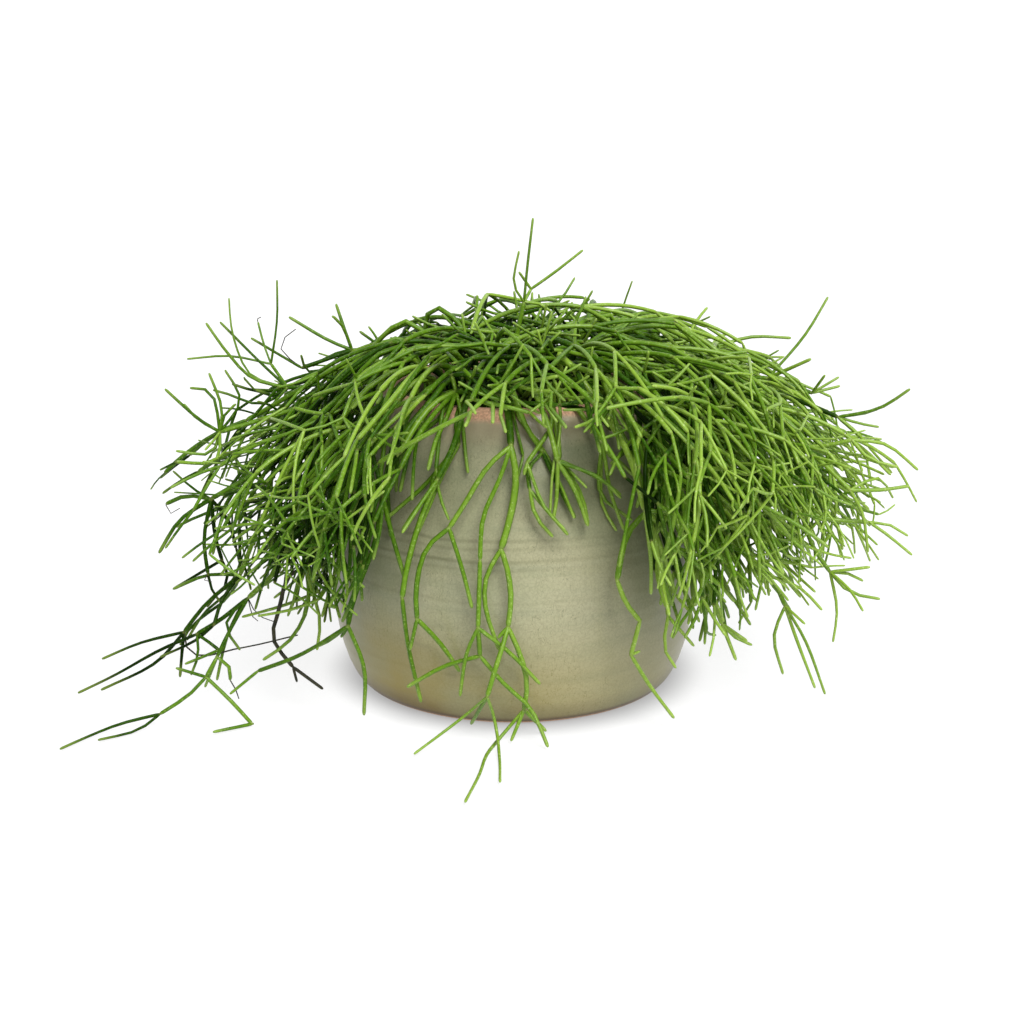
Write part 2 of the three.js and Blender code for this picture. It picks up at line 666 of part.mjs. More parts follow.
function growStem(thicket, parent, draws, roll, form, reach) {
  const start = endOf(parent);
  for (let attempt = 0; attempt < form.tries; attempt += 1) {
    const angle = draws.between(...form.angle);
    const turn = roll + draws.between(...WHORL_ROLL);
    const size = draws.between(...form.size);
    const leave = coneDirection(endDirection(parent), angle, turn);
    leave.addScaledVector(flowAt(start), form.pull).normalize();
    const arrive = leave.clone().addScaledVector(UP, (-form.droop * size) / DROOP_LENGTH).normalize();
    const end = start.clone().addScaledVector(leave.clone().add(arrive).normalize(), size);
    if (outsideMass(end, reach * draws.between(...WHORL_REACH))) continue;
    const route = [start];
    const steps = size > LONG_STEM ? 2 : 1;
    for (let j = 1; j <= steps; j += 1) route.push(onCurve(start, end, leave, arrive, j / steps));
    if (touchesPot(route, form.radius, JOINT_REACH)) continue;
    if (thicket.spareRoom(route, form.radius, parent.spray, JOINT_REACH) < 0) continue;
    return thicket.settle({ spray: parent.spray, parent, route, radius: form.radius });
  }
  return undefined;
}

function growWhorl(thicket, parent, draws, count, form, reach) {
  const roll = draws.between(0, FULL_TURN);
  const grown = [];
  for (let k = 0; k < count; k += 1) {
    const stem = growStem(thicket, parent, draws, roll + (FULL_TURN * k) / count, form, reach);
    if (stem) grown.push(stem);
  }
  return grown;
}

// A crown spray stands up from the middle of the soil and spreads level over it.
function growCrown(thicket, roots, spray, index) {
  const draws = new Draws(CROWN_SEED, spray);
  const azimuth = GOLDEN_TURN * index;
  const out = CROWN.inner + CROWN.spread * ((index * CROWN.spacing) % 1);
  const root = roots.nearest(out * Math.cos(azimuth), out * Math.sin(azimuth));
  for (let attempt = 0; attempt < CROWN.tries; attempt += 1) {
    const toward = azimuth + draws.between(...CROWN.turn);
    const lean = draws.between(...CROWN.lean);
    const top = heading(toward, 0).multiplyScalar(lean).add(root);
    top.z = Math.min(draws.between(...CROWN.height), massTop(top) - CROWN.under);
    const route = smoothRoute([...rootRoute(root), top], UP, undefined);
    if (thicket.spareRoom(route, LIMB, spray, 0) < 0) continue;
    const stem = thicket.settle({ spray, parent: undefined, route, radius: LIMB });
    for (const branch of growWhorl(thicket, stem, draws, CROWN.branches, CROWN_BRANCH, CROWN.branchReach)) {
      growWhorl(thicket, branch, draws, CROWN.twigs, CROWN_TWIG, CROWN.twigReach);
    }
    return;
  }
}

// An arching spray rises over the rim to its first joint and falls outward to its second.
function archingStems(thicket, root, spray, azimuth, reach, draws) {
  for (let attempt = 0; attempt < ARCHING.tries; attempt += 1) {
    const swing = ARCHING.swing + (ARCHING.moreSwing * attempt) / ARCHING.tries;
    const bearing = azimuth + draws.between(-swing, swing);
    const shell = draws.next();
    const lift = ARCHING.shellLift * shell + draws.between(...ARCHING.lift);
    const knee = heading(bearing, 0).multiplyScalar(draws.between(...ARCHING.rim));
    knee.z = Math.min(POT_HEIGHT + lift, massTop(knee) - ARCHING.under);
    const level = heading(bearing, ARCHING.level);
    const rise = smoothRoute([...rootRoute(root), knee], UP, level);
    if (touchesPot(rise, MAIN_STEM, ROOT_DEPTH + 2 * COLLAR)) continue;
    if (thicket.spareRoom(rise, MAIN_STEM, spray, 0) < 0) continue;
    for (let fallTry = 0; fallTry < ARCHING.falls; fallTry += 1) {
      const swerve = bearing + draws.between(...ARCHING.swerve);
      const share = ARCHING.share + ARCHING.shellShare * shell;
      const rho = Math.max(ARCHING.leastRadius, share * reach + draws.between(...ARCHING.shareSlack));
      const joint = heading(swerve, 0).multiplyScalar(rho);
      joint.z = massTop(joint) - ARCHING.under - (1 - shell) * draws.between(...ARCHING.depth);
      if (outsideMass(joint, reach)) continue;
      const arrive = flowAt(joint).addScaledVector(heading(swerve, ARCHING.plunge), 0.5).normalize();
      const fall = [0, 1, 2, 3].map((i) => onCurve(knee, joint, level, arrive, i / 3));
      if (touchesPot(fall, LIMB, 0)) continue;
      if (thicket.spareRoom(fall, LIMB, spray, JOINT_REACH) < 0) continue;
      const stem = thicket.settle({ spray, parent: undefined, route: rise, radius: MAIN_STEM });
      return [stem, thicket.settle({ spray, parent: stem, route: fall, radius: LIMB })];
    }
  }
  return [];
}

function growArching(thicket, roots, spray, index) {
  const draws = new Draws(ARCHING_SEED, spray);
  const open = 2 * ARCHING.clearFront;
  const degrees = ARCHING.clearFront - 90 + (360 - open) * ((index * ARCHING.spacing) % 1);
  const azimuth = (degrees * Math.PI) / 180;
  const reach = massReach(azimuth);
  const root = roots.nearest(ARCHING.rootRadius * Math.cos(azimuth), ARCHING.rootRadius * Math.sin(azimuth));
  const [stem, limb] = archingStems(thicket, root, spray, azimuth, reach, draws);
  const inner = reach - ARCHING.rimShortfall;
  for (const branch of growWhorl(thicket, stem, draws, ARCHING.rimBranches, RIM_BRANCH, inner)) {
    growWhorl(thicket, branch, draws, ARCHING.rimTwigs, RIM_TWIG, reach);
  }
  for (const branch of growWhorl(thicket, limb, draws, ARCHING.limbBranches, LIMB_BRANCH, reach)) {
    growWhorl(thicket, branch, draws, ARCHING.limbTwigs, LIMB_TWIG, reach);
  }
}

// Last stems at the free ends of crown and arching sprays
function growTips(thicket, seeds, rule) {
  const traced = Object.keys(TRACED_SPRAYS).length;
  const carried = new Set(thicket.stems.map((stem) => stem.parent));
  const ends = thicket.stems.filter((stem) => {
    const rho = fromAxis(endOf(stem));
    const within = rho >= rule.nearest && rho <= rule.furthest && endOf(stem).z >= rule.lowest;
    return stem.spray >= traced && !carried.has(stem) && within;
  });
  ends.forEach((stem, index) => {
    const end = endOf(stem);
    const reach = massReach(Math.atan2(end.y, end.x)) + rule.further;
    growWhorl(thicket, stem, new Draws(seeds, index), 1, rule.form, reach);
  });
}

// The whole plant, spray by spray, with the name of each

function growPlant() {
  const thicket = new Thicket();
  const roots = new RootField();
  const names = [];
  for (const [name, shape] of Object.entries(TRACED_SPRAYS)) {
    growTraced(thicket, roots, names.length, shape);
    names.push(`spray_${name}`);
  }
  for (let index = 0; index < CROWN.count; index += 1) {
    growCrown(thicket, roots, names.length, index);
    names.push(`spray_crown_${index + 1}`);
  }
  for (let index = 0; names.length < SPRAY_COUNT; index += 1) {
    growArching(thicket, roots, names.length, index);
    names.push(`spray_arching_${index + 1}`);
  }
  growTips(thicket, CROWN_TIP_SEED, CROWN_TIPS);
  growTips(thicket, OUTER_TIP_SEED, OUTER_TIPS);
  return { stems: thicket.stems, names };
}

// Solids

const wasm = await Module();
wasm.setup();

function solidOf(geometry) {
  const bare = geometry.clone();
  bare.deleteAttribute('normal');
  bare.deleteAttribute('uv');
  const merged = mergeVertices(bare, 1e-4);
  return new wasm.Manifold(new wasm.Mesh({
    numProp: 3,
    vertProperties: new Float32Array(merged.attributes.position.array),
    triVerts: new Uint32Array(merged.index.array),
  }));
}

function geometryOf(solid) {
  const mesh = solid.getMesh();
  const geometry = new THREE.BufferGeometry();
  geometry.setAttribute('position', new THREE.BufferAttribute(new Float32Array(mesh.vertProperties), 3));
  geometry.setIndex(new THREE.BufferAttribute(new Uint32Array(mesh.triVerts), 1));
  geometry.computeVertexNormals();
  return geometry;
}

function turned(points) {
  const lathe = new THREE.LatheGeometry(points.map(([r, z]) => new THREE.Vector2(r, z)), POT_SIDES);
  return lathe.rotateX(Math.PI / 2);
}

function cavityRadius(z) {
  return potRadius(z) - WALL;
}

function potGeometry() {
  const lip = LIP_ANGLES.map((degrees) => {
    const turn = THREE.MathUtils.degToRad(degrees);
    const inset = LIP_ROUNDING * (1 - Math.cos(turn));
    return [inset, POT_HEIGHT - LIP_ROUNDING * (1 - Math.sin(turn))];
  });
  const outer = WALL_HEIGHTS.map((z) => [potRadius(z), z]);
  const inner = [...CAVITY_HEIGHTS].reverse().map((z) => [cavityRadius(z), z]);
  return turned([
    [0, 0],
    [FOOT_RADIUS - FOOT_EDGE / 2, 0],
    [potRadius(FOOT_EDGE), FOOT_EDGE],
    ...outer,
    ...lip.map(([inset, z]) => [RIM_RADIUS - inset, z]),
    ...[...lip].reverse().map(([inset, z]) => [RIM_RADIUS - WALL + inset, z]),
    ...inner,
    [cavityRadius(FLOOR_THICKNESS), FLOOR_THICKNESS],
    [0, FLOOR_THICKNESS],
  ]);
}

function soilSolid(rootStems) {
  const side = CAVITY_HEIGHTS.map((z) => [cavityRadius(z) - SEAT_GAP, z]);
  const edge = SOIL_Z - SOIL_EDGE_DROP;
  const body = turned([
    [0, FLOOR_THICKNESS + SEAT_GAP],
    [cavityRadius(FLOOR_THICKNESS) - SEAT_GAP, FLOOR_THICKNESS + SEAT_GAP],
    ...side,
    [cavityRadius(edge) - SOIL_EDGE_GAP, edge],
    [SOIL_LEVEL_RADIUS, SOIL_Z],
    [0, SOIL_Z],
  ]);
  return rootStems.reduce((soil, stem) => {
    const radius = (stem.radius + SEAT_GAP) / Math.cos(Math.PI / HOLE_SIDES);
    const bottom = SOIL_Z - ROOT_DEPTH - SEAT_GAP;
    const depth = SOIL_Z + 1 - bottom;
    const hole = new THREE.CylinderGeometry(radius, radius, depth, HOLE_SIDES).rotateX(Math.PI / 2);
    hole.translate(stem.route[0].x, stem.route[0].y, bottom + depth / 2);
    return soil.subtract(solidOf(hole));
  }, solidOf(body));
}

// A curve through a route's own points, so that the tube's rings stand on them
class RouteCurve extends THREE.Curve {
  constructor(route) {
    super();
    this.route = route;
  }

  getPointAt(u) {
    const place = u * (this.route.length - 1);
    const i = Math.min(Math.floor(place), this.route.length - 2);
    return along(this.route[i], this.route[i + 1], place - i);
  }

  getPoint(u) {
    return this.getPointAt(u);
  }

  getTangentAt(u) {
    const i = Math.round(u * (this.route.length - 1));
    const before = this.route[Math.max(i - 1, 0)];
    const after = this.route[Math.min(i + 1, this.route.length - 1)];
    return direction(before, after);
  }
}

// A run is a stem and, joint after joint to a tip, the straightest of those that grow on from it.
function runsOf(stems) {
  const continued = new Set();
  const runs = [];
  for (const stem of stems) {
    if (continued.has(stem)) continue;
    const run = [];
    for (let next = stem; next; next = straightestAfter(next, stems)) {
      run.push(next);
      continued.add(next);
    }
    runs.push(run);
  }
  return runs;
}

function straightestAfter(stem, stems) {
  let best;
  let straightness = STRAIGHT_ENOUGH;
  for (const other of stems) {
    if (other.parent !== stem) continue;
    const turn = endDirection(stem).dot(direction(other.route[0], other.route[1]));
    if (turn > straightness) [best, straightness] = [other, turn];
  }
  return best;
}

// One tube along a run. Its base is pinched and sunk into the stem that it grows from.
function runSolid(run) {
  const [first] = run;
  const rings = run.flatMap((stem) => {
    return stem.route.slice(1).map((p) => ({ p, size: stem.radius / first.radius }));
  });
  if (first.parent) {
    const base = first.route[0].clone().addScaledVector(endDirection(first.parent), -JOINT_OVERLAP);
    rings.unshift({ p: base, size: JOINT_PINCH });
  } else {
    rings.unshift({ p: first.route[0], size: 1 });
  }
  const section = new THREE.Shape(Array.from({ length: STEM_SIDES }, (_, k) => {
    const turn = (FULL_TURN * k) / STEM_SIDES;
    return new THREE.Vector2(first.radius * Math.cos(turn), first.radius * Math.sin(turn));
  }));
  const tube = new THREE.ExtrudeGeometry(section, {
    steps: rings.length - 1,
    bevelEnabled: false,
    extrudePath: new RouteCurve(rings.map((ring) => ring.p)),
  });
  const { position } = tube.attributes;
  for (let i = 0; i < position.count; i += 1) {
    const corner = new THREE.Vector3().fromBufferAttribute(position, i);
    const ring = rings.reduce((a, b) => (corner.distanceTo(b.p) < corner.distanceTo(a.p) ? b : a));
    corner.lerp(ring.p, 1 - ring.size);
    position.setXYZ(i, corner.x, corner.y, corner.z);
  }
  return solidOf(tube);
}

// The named parts

const plant = growPlant();
const potted = new THREE.Group();

function addPart(name, geometry, material) {
  const mesh = new THREE.Mesh(geometry, material);
  mesh.name = name;
  potted.add(mesh);
}

addPart('pot', potGeometry(), glaze);
addPart('soil', geometryOf(soilSolid(plant.stems.filter((stem) => !stem.parent))), earth);

plant.names.forEach((name, spray) => {
  const stems = plant.stems.filter((stem) => stem.spray === spray);
  const solid = runsOf(stems).map(runSolid).reduce((joined, next) => joined.add(next));
  addPart(name, geometryOf(solid), greens[spray % greens.length]);
});

export default potted;
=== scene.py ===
"""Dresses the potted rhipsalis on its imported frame: a glazed pot, soil, and branching green stems."""

import json
import logging
import math
from dataclasses import dataclass, replace
from enum import Enum
from functools import lru_cache
from typing import Dict, List, Optional, Sequence, Tuple, Union

import bmesh
import bpy
import numpy as np
from mathutils import Euler, Matrix, Vector, noise

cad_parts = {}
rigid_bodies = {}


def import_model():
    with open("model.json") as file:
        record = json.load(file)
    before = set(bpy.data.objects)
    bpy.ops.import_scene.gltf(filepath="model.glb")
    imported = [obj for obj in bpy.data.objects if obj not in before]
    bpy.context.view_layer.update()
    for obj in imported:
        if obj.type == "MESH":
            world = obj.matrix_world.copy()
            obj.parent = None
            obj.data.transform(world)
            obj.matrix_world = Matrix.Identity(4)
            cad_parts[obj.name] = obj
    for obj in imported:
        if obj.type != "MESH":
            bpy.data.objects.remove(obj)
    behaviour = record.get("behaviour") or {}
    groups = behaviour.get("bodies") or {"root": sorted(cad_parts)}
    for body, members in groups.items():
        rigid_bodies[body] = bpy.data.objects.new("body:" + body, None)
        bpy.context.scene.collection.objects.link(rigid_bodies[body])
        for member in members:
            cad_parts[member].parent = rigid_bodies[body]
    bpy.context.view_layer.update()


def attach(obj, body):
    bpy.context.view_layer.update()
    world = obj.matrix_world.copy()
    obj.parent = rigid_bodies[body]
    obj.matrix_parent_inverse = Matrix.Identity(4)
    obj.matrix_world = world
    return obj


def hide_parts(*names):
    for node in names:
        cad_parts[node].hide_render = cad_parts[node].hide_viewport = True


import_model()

LOG = logging.getLogger("rhipsalis")
BODY = "root"
MM = 0.001
IMAGE_PIXELS = 1024
FULL_TURN = 2 * math.pi
GOLDEN_TURN = 2.399963
WELD = 1e-6

Mesh = bpy.types.Mesh
Material = bpy.types.Material
Object = bpy.types.Object
Socket = bpy.types.NodeSocket
Pair = Tuple[float, float]
Point = Tuple[float, float, float]
Row = Tuple[float, ...]
ORIGIN: Point = (0.0, 0.0, 0.0)
UP: Point = (0.0, 0.0, 1.0)

# A way that no stem takes, to find its sides by
ASKEW: Point = (0.1, 0.2, 1.0)


# Points

def plus(a: Point, b: Point, share: float = 1.0) -> Point:
    """a moved by share of b."""
    return (a[0] + b[0] * share, a[1] + b[1] * share, a[2] + b[2] * share)


def minus(a: Point, b: Point) -> Point:
    """The way from b to a."""
    return (a[0] - b[0], a[1] - b[1], a[2] - b[2])


def length(a: Point) -> float:
    """How long a is."""
    return math.sqrt(a[0] * a[0] + a[1] * a[1] + a[2] * a[2])


def unit(a: Point) -> Point:
    """a at a length of 1."""
    size = length(a)
    return (a[0] / size, a[1] / size, a[2] / size)


def cross(a: Point, b: Point) -> Point:
    """The direction square to both a and b."""
    return (a[1] * b[2] - a[2] * b[1], a[2] * b[0] - a[0] * b[2], a[0] * b[1] - a[1] * b[0])


def clamped(share: float) -> float:
    """share, held between 0 and 1."""
    return min(1.0, max(0.0, share))


def heading(azimuth: float, slope: float) -> Point:
    """The direction at an azimuth that falls by a slope, both in radians."""
    level = math.cos(slope)
    return (level * math.cos(azimuth), level * math.sin(azimuth), -math.sin(slope))


def out_at(azimuth: float, rho: float, z: float) -> Point:
    """The point at an azimuth, that far from the pot's axis and that high."""
    return (rho * math.cos(azimuth), rho * math.sin(azimuth), z)


def azimuth_of(p: Point) -> float:
    """The azimuth of a point, in radians."""
    return math.atan2(p[1], p[0])


def from_axis(p: Point) -> float:
    """How far a point is from the pot's axis."""
    return math.hypot(p[0], p[1])


# The pot's room, the photograph's view and the mass of stems, in mm

@dataclass(frozen=True)
class PotShape:
    """The pot's outline, and the room that it and the floor leave to the stems."""
    height: float = 163.0
    belly_radius: float = 101.0
    belly_z: float = 56.0
    foot_radius: float = 86.0
    foot_edge: float = 3.0
    foot_fullness: float = 0.55
    rim_radius: float = 71.5
    lip_rounding: float = 2.4
    wall: float = 7.0
    floor_thickness: float = 10.0
    soil_z: float = 150.0
    pot_gap: float = 1.1
    floor_gap: float = 0.5

    def radius(self, z: float) -> float:
        """The outer radius at a height."""
        if z < self.belly_z:
            rise = math.sin(math.pi / 2 * max(z, 0.0) / self.belly_z) ** self.foot_fullness
            return self.foot_radius + (self.belly_radius - self.foot_radius) * rise
        up = (min(z, self.height) - self.belly_z) / (self.height - self.belly_z)
        return self.rim_radius + (self.belly_radius - self.rim_radius) * math.cos(math.pi / 2 * up)

    def lowest(self, margin: float) -> float:
        """How low a stem may lie over the floor."""
        return margin - self.pot_gap + self.floor_gap

    def blocked(self, p: Point, margin: float) -> bool:
        """True where a stem would touch the floor, the pot's wall or the soil."""
        rho = from_axis(p)
        if p[2] < self.lowest(margin):
            return True
        if p[2] > self.height + margin:
            return False
        if rho < self.rim_radius - self.wall - margin:
            return p[2] < self.soil_z + margin
        return rho < self.radius(p[2]) + margin

    def pushed_clear(self, p: Point, margin: float) -> Point:
        """A stem's point moved straight out of the pot's wall and up off the floor."""
        z = max(p[2], self.lowest(margin))
        rho = from_axis(p)
        if rho < self.rim_radius - self.wall - margin or z > self.height + margin:
            return (p[0], p[1], z)
        needed = self.radius(z) + margin
        if rho >= needed:
            return (p[0], p[1], z)
        return (p[0] * needed / rho, p[1] * needed / rho, z)


POT = PotShape()


@dataclass(frozen=True)
class PhotoView:
    """Where the photograph was taken from, and how its pixels lie in the object's frame."""
    distance: float = 850.0
    height: float = 332.0
    aim_height: float = 89.4
    axis_offset: float = -1.3
    focal_pixels: float = 1588.0
    centre_pixel: float = 512.0
    sensor_mm: float = 36.0
    clip_m: Pair = (0.05, 60.0)
    lying_z: float = 2.2

    @property
    def pitch(self) -> float:
        """How far the camera looks down, in radians."""
        return math.atan2(self.height - self.aim_height, self.distance)

    def seen_at(self, px: float, py: float, toward: float) -> Point:
        """The point seen at a pixel, or where its line of sight meets the floor.

        Args:
            px: The pixel's column in the photograph.
            py: The pixel's row in the photograph.
            toward: How far toward the viewer the point lies, in mm from the pot's axis.

        Returns:
            The point, in mm.
        """
        across = (px - self.centre_pixel) / self.focal_pixels
        above = (self.centre_pixel - py) / self.focal_pixels
        ahead = math.cos(self.pitch) + above * math.sin(self.pitch)
        rise = above * math.cos(self.pitch) - math.sin(self.pitch)
        t = (self.distance - toward) / ahead
        if self.height + t * rise < self.lying_z:
            t = (self.lying_z - self.height) / rise
        return (self.axis_offset + across * t, t * ahead - self.distance, self.height + t * rise)

    def make_camera(self) -> Object:
        """Makes the scene's camera, in metres, and returns it."""
        data = bpy.data.cameras.new("camera")
        data.sensor_width = self.sensor_mm
        data.lens = self.focal_pixels / IMAGE_PIXELS * self.sensor_mm
        data.clip_start, data.clip_end = self.clip_m
        camera = bpy.data.objects.new("camera", data)
        camera.location = Vector((self.axis_offset, -self.distance, self.height)) * MM
        camera.rotation_euler = (math.pi / 2 - self.pitch, 0.0, 0.0)
        bpy.context.scene.collection.objects.link(camera)
        bpy.context.scene.camera = camera
        return camera


VIEW = PhotoView()


@dataclass(frozen=True)
class Mass:
    """The mass of stems: its top, lower at the left, its reach and underside, and the pot's opening."""
    top: float = 201.0
    top_fall: float = 12.0
    top_fall_radius: float = 100.0
    top_power: float = 2.65
    top_slack: float = 5.0
    left_drop: float = 22.0
    left_from: float = 20.0
    left_over: float = 75.0
    reach: float = 196.0
    widening: float = 8.0
    rightward: float = 5.0
    front_loss: float = 46.0
    foot_share: float = 0.7
    foot_z: float = 36.0
    full_z: float = 98.0
    underside_z: float = 44.0
    underside_wave: float = 7.0
    underside_lobes: int = 3
    underside_radius: float = 75.0
    underside_tilt: float = 0.0
    back_loss: float = 0.0
    opening_x: float = -8.0
    opening_y: float = -45.0
    opening_top: float = 170.0
    opening_half_width: float = 42.0
    opening_spread: float = 0.22
    flow_level: float = 0.05
    flow_sunk: float = 0.85
    flow_sunk_depth: float = 90.0
    flow_outer: float = 0.35
    flow_outer_radius: float = 200.0
    flow_outer_power: int = 3

    def top_at(self, p: Point) -> float:
        """The height of the mass's top over or under a point."""
        drop = self.left_drop * clamped((-p[0] - self.left_from) / self.left_over)
        fall = self.top_fall * (from_axis(p) / self.top_fall_radius) ** self.top_power
        return self.top - fall - drop

    def reach_at(self, azimuth: float) -> float:
        """How far the mass reaches at an azimuth."""
        front = max(0.0, -math.sin(azimuth))
        side = self.widening * math.cos(2 * azimuth) + self.rightward * math.cos(azimuth)
        back = max(0.0, math.sin(azimuth))
        return self.reach + side - self.front_loss * front * front - self.back_loss * back * back

    def in_opening(self, p: Point) -> bool:
        """True in the room in front of the pot that the mass leaves open."""
        half = self.opening_half_width + self.opening_spread * (POT.height - p[2])
        return p[1] < self.opening_y and p[2] < self.opening_top and abs(p[0] - self.opening_x) < half

    def outside(self, p: Point, reach: float, lift: float = 0.0) -> bool:
        """True where a stem's tip would stand out of the mass, more than lift above its top."""
        rho = from_axis(p)
        height = clamped((p[2] - self.foot_z) / (self.full_z - self.foot_z))
        if rho > reach * (self.foot_share + (1 - self.foot_share) * height):
            return True
        if p[2] > self.top_at(p) + self.top_slack + lift or self.in_opening(p):
            return True
        azimuth = azimuth_of(p)
        underside = self.underside_z + self.underside_wave * math.sin(self.underside_lobes * azimuth)
        underside += self.underside_tilt * math.cos(azimuth)
        return rho > self.underside_radius and p[2] < underside

    def flow_at(self, p: Point) -> Point:
        """The way the mass falls at a point: level over the crown, steeper below and further out."""
        rho = from_axis(p)
        sunk = clamped((self.top_at(p) - p[2]) / self.flow_sunk_depth)
        outer = (rho / self.flow_outer_radius) ** self.flow_outer_power
        return heading(azimuth_of(p), self.flow_level + self.flow_sunk * sunk + self.flow_outer * outer)


MASS = Mass()


# Stems and the rule by which they grow

class Skin(Enum):
    """What a stem is covered with; the value is its material's place on the spray."""
    GREEN = 0
    DRY = 1


@dataclass
class Stem:
    """One stem from joint to joint, in mm."""
    spray: int
    parent: Optional["Stem"]
    route: List[Point]
    radius: float
    leave: Optional[Point] = None
    arrive: Optional[Point] = None
    generation: int = 0
    skin: Skin = Skin.GREEN
    # How bright its green is, with its painted light and shade
    tone: float = 0.5
    shade: float = 0.0

    @property
    def end(self) -> Point:
        """The stem's last point."""
        return self.route[-1]

    @property
    def end_way(self) -> Point:
        """The direction in which the stem ends."""
        return unit(minus(self.route[-1], self.route[-2]))


class Draws:
    """Seeded draws, the same in every run, from a mixed 32-bit count."""
    word: int = 0xFFFFFFFF
    stride: int = 0x6D2B79F5

    def __init__(self, seed: int) -> None:
        """Starts the draws at a seed."""
        self.state = seed & self.word

    def next(self) -> float:
        """A draw from 0 to 1."""
        self.state = (self.state + self.stride) & self.word
        t = self.state
        t = ((t ^ (t >> 15)) * (t | 1)) & self.word
        t ^= (t + (((t ^ (t >> 7)) * (t | 61)) & self.word)) & self.word
        return (t ^ (t >> 14)) / (self.word + 1)

    def between(self, low: float, high: float) -> float:
        """A draw from low to high."""
        return low + (high - low) * self.next()


def on_curve(a: Point, b: Point, leave: Point, arrive: Point, t: float) -> Point:
    """A point on the smooth curve from a to b.

    Args:
        a: Where the curve starts.
        b: Where it ends.
        leave: Its direction at a.
        arrive: Its direction at b.
        t: How far along it the point lies, from 0 to 1.

    Returns:
        The point.
    """
    size = length(minus(b, a))
    p = plus(ORIGIN, a, (1 + 2 * t) * (1 - t) * (1 - t))
    p = plus(p, leave, t * (1 - t) * (1 - t) * size)
    p = plus(p, b, t * t * (3 - 2 * t))
    return plus(p, arrive, t * t * (t - 1) * size)


def ways_along(points: Sequence[Point], first: Optional[Point], last: Optional[Point]) -> List[Point]:
    """The directions of a smooth curve at the points that it passes.

    Args:
        points: The points.
        first: The direction at the first, or None for straight to the next.
        last: The direction at the last, or None for straight from the one before.

    Returns:
        One direction for each point.
    """
    spans = [unit(minus(b, a)) for a, b in zip(points, points[1:])]
    inner = [unit(plus(a, b)) for a, b in zip(spans, spans[1:])]
    return [first or spans[0], *inner, last or spans[-1]]


def smooth_route(points: Sequence[Point], first: Optional[Point], last: Optional[Point],
                 step: float = 24.0) -> List[Point]:
    """Points about a step apart on the smooth curve through the given ones.

    Args:
        points: The points that the curve passes.
        first: Its direction at the first, or None.
        last: Its direction at the last, or None.
        step: How far apart the new points are, in mm.

    Returns:
        The curve's points, the given ones among them.
    """
    ways = ways_along(points, first, last)
    route = [points[0]]
    for i in range(len(points) - 1):
        steps = max(1, math.floor(length(minus(points[i + 1], points[i])) / step + 0.5))
        for j in range(1, steps + 1):
            route.append(on_curve(points[i], points[i + 1], ways[i], ways[i + 1], j / steps))
    return route


@dataclass(frozen=True)
class Room:
    """The room that a stem keeps, and how finely it is tested, in mm."""
    stem_gap: float = 0.35
    joint_reach: float = 7.0
    sample: float = 2.0
    cell: float = 6.0
    free: float = 9.0


ROOM = Room()


def samples_of(route: Sequence[Point]) -> List[Point]:
    """Points along a route, close enough together to test its room."""
    out: List[Point] = []
    for a, b in zip(route, route[1:]):
        way = minus(b, a)
        steps = max(1, math.ceil(length(way) / ROOM.sample))
        out.extend(plus(a, way, j / steps) for j in range(steps))
    out.append(route[-1])
    return out


def touches_pot(route: Sequence[Point], radius: float, skipped: float) -> bool:
    """True where a route meets the pot, soil or floor, past its first skipped mm."""
    margin = radius + POT.pot_gap
    return any(length(minus(p, route[0])) > skipped and POT.blocked(p, margin) for p in samples_of(route))


class Thicket:
    """All stems grown so far, with the room that they take up."""

    def __init__(self) -> None:
        """Starts with no stems."""
        self.cells: Dict[Tuple[int, int, int], List[Tuple[float, float, float, float, int]]] = {}
        self.stems: List[Stem] = []

    @staticmethod
    def cell_of(p: Point) -> Tuple[int, int, int]:
        """The cell that holds a point."""
        return (math.floor(p[0] / ROOM.cell), math.floor(p[1] / ROOM.cell), math.floor(p[2] / ROOM.cell))

    def spare_room(self, route: Sequence[Point], radius: float, spray: int, joint: float) -> float:
        """The least room left over beside a route.

        Args:
            route: The stem's points.
            radius: Its radius.
            spray: Its spray, whose own stems don't count near the joint.
            joint: How far from its first point the joint reaches.

        Returns:
            The room in mm squared, below 0 where stems would touch.
        """
        least = ROOM.free
        slack = ROOM.sample * ROOM.sample / 2
        for p in samples_of(route):
            at_joint = length(minus(p, route[0])) < joint
            ci, cj, ck = self.cell_of(p)
            for i in (ci - 1, ci, ci + 1):
                for j in (cj - 1, cj, cj + 1):
                    for k in (ck - 1, ck, ck + 1):
                        for x, y, z, other_radius, other_spray in self.cells.get((i, j, k), ()):
                            if other_spray == spray and at_joint:
                                continue
                            needed = radius + other_radius + ROOM.stem_gap
                            dx, dy, dz = p[0] - x, p[1] - y, p[2] - z
                            spare = dx * dx + dy * dy + dz * dz - needed * needed - slack
                            if spare < least:
                                least = spare
        return least

    def crowding(self, p: Point, way: Point, distances: Sequence[float]) -> int:
        """How many samples of stems lie round the points at some distances from p, in mm, along a way."""
        return sum(len(self.cells.get(self.cell_of(plus(p, way, distance)), ())) for distance in distances)

    def settle(self, stem: Stem) -> Stem:
        """Adds a stem, and returns it."""
        self.stems.append(stem)
        for p in samples_of(stem.route):
            self.cells.setdefault(self.cell_of(p), []).append((*p, stem.radius, stem.spray))
        return stem


@dataclass(frozen=True)
class TracedSpray:
    """A spray whose stems stand out in the photograph.

    root is where it leaves the soil, lift its height over the rim, near how far toward the viewer its
    first pixel lies, and dry the rows that are withered. A row of stems is (parent, toward, radius, x, y,
    x, y, ...): the row that it grows from, or -1 for the soil, how far toward the viewer it ends in mm,
    its radius in mm, and the photograph's pixels that it passes.
    """
    root: Pair
    lift: float
    near: float
    stems: Tuple[Row, ...]
    dry: Tuple[int, ...] = ()


def pixels_of(row: Row) -> List[Pair]:
    """The photograph's pixels that a stem's row passes."""
    return list(zip(row[3::2], row[4::2]))


